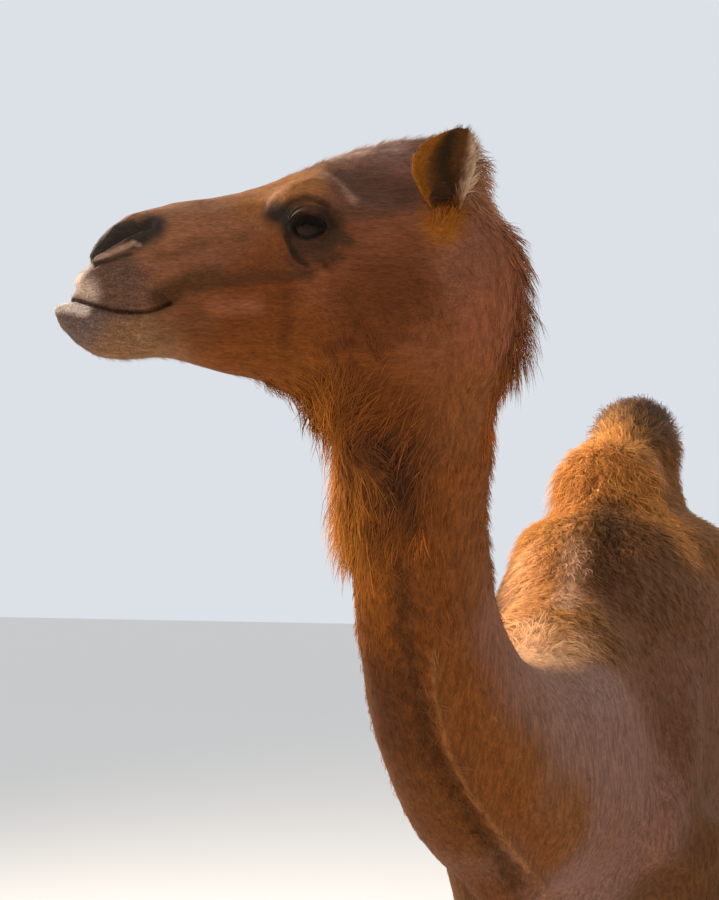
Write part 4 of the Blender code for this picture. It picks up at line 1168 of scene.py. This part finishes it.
def startMaterial(name, roughness, specular):
    made = bpy.data.materials.new(name)
    made.use_nodes = True
    shader = made.node_tree.nodes["Principled BSDF"]
    shader.inputs["Roughness"].default_value = roughness
    shader.inputs["Specular IOR Level"].default_value = specular
    return made, made.node_tree, shader


def makeCoatMaterial():
    # camel hair: matt keratin fibres with a faint sheen, lighter and darker in patches 18 mm across
    made, tree, shader = startMaterial("camel hair, combed", 0.72, 0.12)
    place = addNode(tree, "ShaderNodeTexCoord").outputs["Object"]
    marks = addNode(tree, "ShaderNodeAttribute", {"attribute_name": "markings"})
    mottle = addNode(tree, "ShaderNodeTexNoise", {"Scale": 55.0, "Detail": 4.0}, {"Vector": place})
    level = addNode(
        tree, "ShaderNodeMapRange", {"To Min": 0.82, "To Max": 1.18}, {"Value": mottle.outputs["Fac"]}
    )
    links = {"Color": marks.outputs["Color"], "Value": level.outputs["Result"]}
    mixed = addNode(tree, "ShaderNodeHueSaturation", {}, links)
    tree.links.new(mixed.outputs["Color"], shader.inputs["Base Color"])
    shader.inputs["Sheen Weight"].default_value = 0.06
    shader.inputs["Sheen Roughness"].default_value = 0.5
    shader.inputs["Sheen Tint"].default_value = (*linear("c98a55"), 1)
    return made


skinHair = [  # across the head, and down the body: turn, stretch along the hair, contrast of the streaks
    (-math.atan2(headAhead[1], headAhead[0]), (0.16, 1, 1), 0.13),
    (0.0, (1, 0.8, 0.14), 0.24),
]


def makeSkinMaterial():
    # short hair lying flat over hide: strands 1.6 mm apart and locks 6 mm apart, both drawn long the way
    # the hair lies, bristle pores 2.3 mm apart on the muzzle, and no shine
    made, tree, shader = startMaterial("short camel hair over hide", 0.8, 0.1)
    place = addNode(tree, "ShaderNodeTexCoord").outputs["Object"]
    marks, headFor, bristly = (
        addNode(tree, "ShaderNodeAttribute", {"attribute_name": name})
        for name in ("markings", "headShare", "bristles")
    )
    times, mix = {"operation": "MULTIPLY"}, {"data_type": "FLOAT"}
    hairs, locks = [], []
    for rotation, stretch, contrast in skinHair:
        upright = addNode(tree, "ShaderNodeMapping", {"Rotation": (0, 0, rotation)}, {"Vector": place})
        drawn = addNode(tree, "ShaderNodeVectorMath", times, {0: upright.outputs["Vector"]})
        drawn.inputs[1].default_value = stretch
        along = {"Vector": drawn.outputs["Vector"]}
        strand = {"Scale": 620.0, "Detail": 3.0, "Roughness": 0.6}
        noise = addNode(tree, "ShaderNodeTexNoise", strand, along)
        lock = addNode(tree, "ShaderNodeTexNoise", {"Scale": 170.0, "Detail": 2.0}, along)
        limits = {"From Min": 0.33, "From Max": 0.67, "To Min": 1 - contrast, "To Max": 1 + contrast}
        streak = addNode(tree, "ShaderNodeMapRange", limits, {"Value": lock.outputs["Fac"]})
        hairs.append(noise.outputs["Fac"])
        locks.append(streak.outputs["Result"])
    strands = addNode(tree, "ShaderNodeMix", mix, {0: headFor.outputs["Fac"], 2: hairs[1], 3: hairs[0]})
    streaks = addNode(tree, "ShaderNodeMix", mix, {0: headFor.outputs["Fac"], 2: locks[1], 3: locks[0]})
    limits = {"From Min": 0.3, "From Max": 0.7, "To Min": 0.66, "To Max": 1.22}
    level = addNode(tree, "ShaderNodeMapRange", limits, {"Value": strands.outputs[0]})
    pores = addNode(tree, "ShaderNodeTexNoise", {"Scale": 430.0, "Detail": 1.0}, {"Vector": place})
    limits = {"From Min": 0.40, "From Max": 0.62, "To Min": 0.74, "To Max": 1.18}
    speck = addNode(tree, "ShaderNodeMapRange", limits, {"Value": pores.outputs["Fac"]})
    spots = addNode(tree, "ShaderNodeMix", mix, {0: bristly.outputs["Fac"], 3: speck.outputs["Result"]})
    spots.inputs[2].default_value = 1.0
    fur = addNode(tree, "ShaderNodeMath", times, {0: level.outputs["Result"], 1: streaks.outputs[0]})
    both = addNode(tree, "ShaderNodeMath", times, {0: fur.outputs[0], 1: spots.outputs[0]})
    links = {"Color": marks.outputs["Color"], "Value": both.outputs[0]}
    mixed = addNode(tree, "ShaderNodeHueSaturation", {}, links)
    tree.links.new(mixed.outputs["Color"], shader.inputs["Base Color"])
    relief = {"Strength": 0.55, "Distance": 0.0011}
    bump = addNode(tree, "ShaderNodeBump", relief, {"Height": strands.outputs[0]})
    tree.links.new(bump.outputs["Normal"], shader.inputs["Normal"])
    shader.inputs["Sheen Weight"].default_value = 0.05
    shader.inputs["Sheen Tint"].default_value = (*linear("c98a55"), 1)
    return made


def makeEyeMaterial():
    # wet eye: a clear, very smooth film over a nearly black brown ball
    made, tree, shader = startMaterial("wet dark eye", 0.07, 0.07)
    marks = addNode(tree, "ShaderNodeAttribute", {"attribute_name": "markings"})
    tree.links.new(marks.outputs["Color"], shader.inputs["Base Color"])
    shader.inputs["IOR"].default_value = 1.38
    shader.inputs["Coat Weight"].default_value = 0.07
    shader.inputs["Coat Roughness"].default_value = 0.02
    return made


def makeHornMaterial():
    # toenail horn: layered keratin, dull where it scuffs, with growth rings 4 mm apart
    made, tree, shader = startMaterial("toenail horn, worn", 0.42, 0.45)
    place = addNode(tree, "ShaderNodeTexCoord").outputs["Object"]
    rings = {"bands_direction": "Z", "Scale": 78.0, "Distortion": 3.0, "Detail": 2.0}
    wave = addNode(tree, "ShaderNodeTexWave", rings, {"Vector": place})
    ramp = addNode(tree, "ShaderNodeValToRGB", {}, {"Fac": wave.outputs["Fac"]})
    ramp.color_ramp.elements[0].color = (*linear("2e251f"), 1)
    ramp.color_ramp.elements[1].color = (*linear("55463b"), 1)
    tree.links.new(ramp.outputs["Color"], shader.inputs["Base Color"])
    relief = {"Strength": 0.4, "Distance": 0.0006}
    bump = addNode(tree, "ShaderNodeBump", relief, {"Height": wave.outputs["Fac"]})
    tree.links.new(bump.outputs["Normal"], shader.inputs["Normal"])
    return made


coatMaterial = makeCoatMaterial()
skinMaterial = makeSkinMaterial()
eyeMaterial = makeEyeMaterial()
hornMaterial = makeHornMaterial()


def colourAttribute(mesh, name, colour):
    layer = mesh.attributes.new(name, "FLOAT_COLOR", "POINT")
    opaque = np.concatenate((np.clip(colour, 0, 1), np.ones((len(colour), 1))), axis=1)
    layer.data.foreach_set("color", opaque.ravel())


# Build the skin

skinMesh = buildSkin()
drawIn(skinMesh)
foldNeck(skinMesh)
refine(skinMesh, lambda p: nearFace(p, 0.016))
refine(skinMesh, lambda p: nearFace(p, 0.006))
relax(skinMesh, 1, headShare(wherePoints(skinMesh))[:, None])
foldSkin(skinMesh)
relax(skinMesh, 1, headShare(wherePoints(skinMesh))[:, None])
shapeLids(skinMesh)
layMarks(skinMesh)
isEar = addEars(skinMesh)
skinPoints, skinNormals = wherePoints(skinMesh), pointNormals(skinMesh)


def paintedSkin(points, normals, onEar):
    colour = marked(points, coatAt(points)[2])
    return np.where(onEar[:, None], earColour(points, normals, colour), colour)


skinTone = 0.92 * coatSettings["tone"]
colourAttribute(skinMesh, "markings", skinTone * paintedSkin(skinPoints, skinNormals, isEar))
for name, shareAt in (("headShare", headShare), ("bristles", muzzle)):
    layer = skinMesh.attributes.new(name, "FLOAT", "POINT")
    layer.data.foreach_set("value", shareAt(skinPoints).astype(np.float32))
skinMesh.materials.append(skinMaterial)
skinMesh.shade_smooth()
skin = addObject("skin", skinMesh)
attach(skin, "root")
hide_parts(*flesh, *ears)
print("skin", sum(len(face.vertices) - 2 for face in skinMesh.polygons), "triangles")


# Build the coat


def whichNode(points):  # the CAD node of flesh nearest to each point
    where, triangles, owners = [], [], []
    for node in flesh + list(ears):
        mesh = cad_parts[node].data
        first = len(where)
        where += [vert.co.copy() for vert in mesh.vertices]
        triangles += [[first + k for k in face.vertices] for face in mesh.polygons]
        owners += [node] * len(mesh.polygons)
    tree = BVHTree.FromPolygons(where, triangles)
    return np.array([owners[tree.find_nearest(point)[2]] for point in points.tolist()])


def growCoat(unwrapped):
    roots, out, onEar = plantTufts(skinMesh, isEar)
    comb, hair, colour = coatAt(roots)
    count = len(roots)
    local = inHead(roots)
    back = ease(0.3, 0.95, earShare(local))[:, None]
    comb = np.where(onEar[:, None], (1 - 0.4 * back) * up - (0.25 + 0.55 * back) * headAhead, comb)
    grooves = np.concatenate(neckPaths("groove of the neck", skinTree(skinMesh)))
    toGroove = np.min([np.linalg.norm(roots - spot, axis=1) for spot in grooves], axis=0)
    hair = hair + ease(0.030, 0.012, toGroove)[:, None] * (grooveHair - hair)
    comb = alongSkin(comb, out)
    tip = ease(0.085, 0.125, local[:, 2])[onEar, None]
    hair[onEar] = earHair[0] + earHair[1] * tip + earHair[2] * back[onEar]
    colour = marked(roots, colour)
    colour = np.where(onEar[:, None], earColour(roots, out, colour), colour)
    curly, wild = ease(3, 8, hair[:, 3]), ease(24, 40, hair[:, 0])
    kinds = np.array((np.ones(count), wild, headShare(roots), muzzle(roots)))
    (plain, curled), (few, more, between) = variety["swing"], variety["turns"]
    tufts = {
        "root": roots,
        "out": out,
        "comb": comb,
        "hair": hair * np.stack((rng.uniform(*variety["length"], count), *np.ones((4, count))), axis=1),
        "colour": colour,
        "swing": rng.normal(0, plain, count) + curly * rng.normal(0, curled, count),
        "phase": rng.uniform(0, math.tau, count),
        "turns": few + more * curly * rng.uniform(*between, count),
        "tone": coatSettings["tone"] * np.exp(rng.normal(0, 1, count) * (variety["tone"] @ kinds[:3])),
        "contrast": variety["contrast"] @ kinds,
        "patch": patchPlaces(roots, unwrapped),
    }
    owner = whichNode(roots)
    left = roots[:, 0] > bodyMiddle
    behind = local[:, 0] < -0.035 - 0.05 * ease(-0.3, -0.5, local[:, 2])
    areas = {
        "coatHead": np.isin(owner, ("head", "lower_jaw", "ear_left", "ear_right")),
        "coatNape": (owner == "neck_upper") & behind,
        "coatThroat": (owner == "neck_upper") & ~behind,
        "coatNeckLower": owner == "neck_lower",
        "coatHumpLeft": (owner == "hump") & left,
        "coatHumpRight": (owner == "hump") & ~left,
        "coatTrunkLeft": (owner == "trunk") & left,
        "coatTrunkRight": (owner == "trunk") & ~left,
        "coatForelegs": np.char.startswith(owner, "fore"),
        "coatHindlegs": np.char.startswith(owner, "hind"),
        "coatTail": owner == "tail",
    }
    long = tufts["hair"][:, 0] > coatSettings["longer"]
    for name, here in areas.items():
        for kind, chosen, shape in (("Long", here & long, longLock), ("Short", here & ~long, shortLock)):
            if chosen.sum() > 20:
                some = {key: value[chosen] for key, value in tufts.items()}
                growLocks(name + kind, some, shape)


unwrapped = unwrapSkin(skinMesh)
growCoat(unwrapped)


# Eyelashes: a long double row on the upper lid, a short one on the lower

lashes = {  # mm long, tufts along the rim, rows, way from the eye's line, how far they turn down
    "upper": (18, 60, 2, 1, 1.0),
    "lower": (6, 26, 1, -1, 0.9),
}
lashHair = (0.75, 38, 0.6, 1500)  # width, lift, curl, thousand locks per square metre
lashSettings = {
    "colour": "17100b",
    "reach": 0.94,  # share of the rim's half width that carries lashes
    "fromRim": 0.0006,  # metres, as are the next two
    "rowGap": 0.0009,
    "overBall": 0.0016,
}


def growLashes(unwrapped):
    rows = {key: [] for key in ("root", "out", "comb", "hair")}
    half, centre = eyeSettings["opening"][0], eyeSettings["centre"]
    for side in (1, -1):
        ball, gaze, ahead, rise = eyeAxes(side)
        for length, count, deep, over, down in lashes.values():
            for k in range(count * deep):
                u = (2 * (k % count + 0.5) / count - 1) * lashSettings["reach"]
                upper, lower = lidRims(abs(u))
                row = lashSettings["fromRim"] + lashSettings["rowGap"] * (k // count)
                v = (upper if over > 0 else -lower) + row * over
                spot = ahead * (u * half + centre[0]) + rise * (v + centre[1])
                spot = spot + gaze * math.sqrt(max(eyeSettings["radius"] ** 2 - spot @ spot, 1e-6))
                away = unit(spot)
                rows["root"].append(ball + spot + away * lashSettings["overBall"])
                rows["out"].append(away)
                rows["comb"].append(unit((0.25 + 0.35 * u) * ahead - down * rise))
                rows["hair"].append((length * (1 - 0.35 * u * u), *lashHair))
    root = fromHead(np.array(rows["root"]))
    out, comb = (np.array(rows[key]) @ headAxes for key in ("out", "comb"))
    count = len(root)
    tufts = {
        "root": root,
        "out": out,
        "comb": alongSkin(comb, out),
        "hair": np.array(rows["hair"]),
        "colour": np.tile(linear(lashSettings["colour"]), (count, 1)),
        "swing": rng.normal(0, 4, count),
        "phase": rng.uniform(0, math.tau, count),
        "turns": np.full(count, 1.5),
        "tone": np.ones(count),
        "contrast": np.full(count, 0.1),
        "patch": patchPlaces(root, unwrapped),
    }
    growLocks("coatLashes", tufts, longLock)


growLashes(unwrapped)


# Eyes and toenails

eyeColours = {"ball": "140d08", "iris": "22150a", "pupil": "040303"}
cornea = 0.05  # how far it stands out, as a share of the ball's radius


def makeEye(side, node):
    bm = bmesh.new()
    bmesh.ops.create_uvsphere(bm, u_segments=40, v_segments=24, radius=eyeSettings["radius"])
    ball, gaze = eyeAxes(side)[:2]
    for vert in bm.verts:
        vert.co *= 1 + cornea * float(ease(0.80, 1.0, unit(np.array(vert.co)) @ gaze))
    mesh = meshFrom(bm, node)
    local = wherePoints(mesh)
    away = np.arccos(np.clip(unit(local) @ gaze, -1, 1))
    flatness = np.abs(unit(local)[:, 2] - gaze[2])  # the pupil is a flat oval
    colour = painted(np.array(linear(eyeColours["ball"])), eyeColours["iris"], ease(0.78, 0.66, away))
    colour = painted(colour, eyeColours["pupil"], ease(0.44, 0.36, np.hypot(away, 1.1 * flatness)))
    movePoints(mesh, fromHead(local + ball))
    colourAttribute(mesh, "markings", colour)
    mesh.materials.append(eyeMaterial)
    mesh.shade_smooth()
    piece = addObject(node.replace("eye_", "eyeball_"), mesh)
    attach(piece, "root")
    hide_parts(node)


def makeNail(node):
    mesh = meshFrom(mergedCopy(node), node)
    mesh.shade_smooth()
    mesh.materials.append(hornMaterial)
    piece = addObject(node.replace("nail", "toenail"), mesh)
    rounded = piece.modifiers.new("round", "SUBSURF")
    rounded.levels = rounded.render_levels = 2
    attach(piece, "root")
    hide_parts(node)


makeEye(1, "eye_left")
makeEye(-1, "eye_right")
for node in nails:
    makeNail(node)
print("eyes and toenails")


def makeFloor():
    bm = bmesh.new()
    bmesh.ops.create_grid(bm, x_segments=1, y_segments=1, size=30)
    floor = addObject("floor", meshFrom(bm, "floor"))
    # matt paint: no pattern, nearly no shine
    paint, _, shader = startMaterial("matt pale floor paint", 0.9, 0.5)
    shader.inputs["Base Color"].default_value = (*linear("e6e2dc"), 1)
    floor.data.materials.append(paint)


makeFloor()
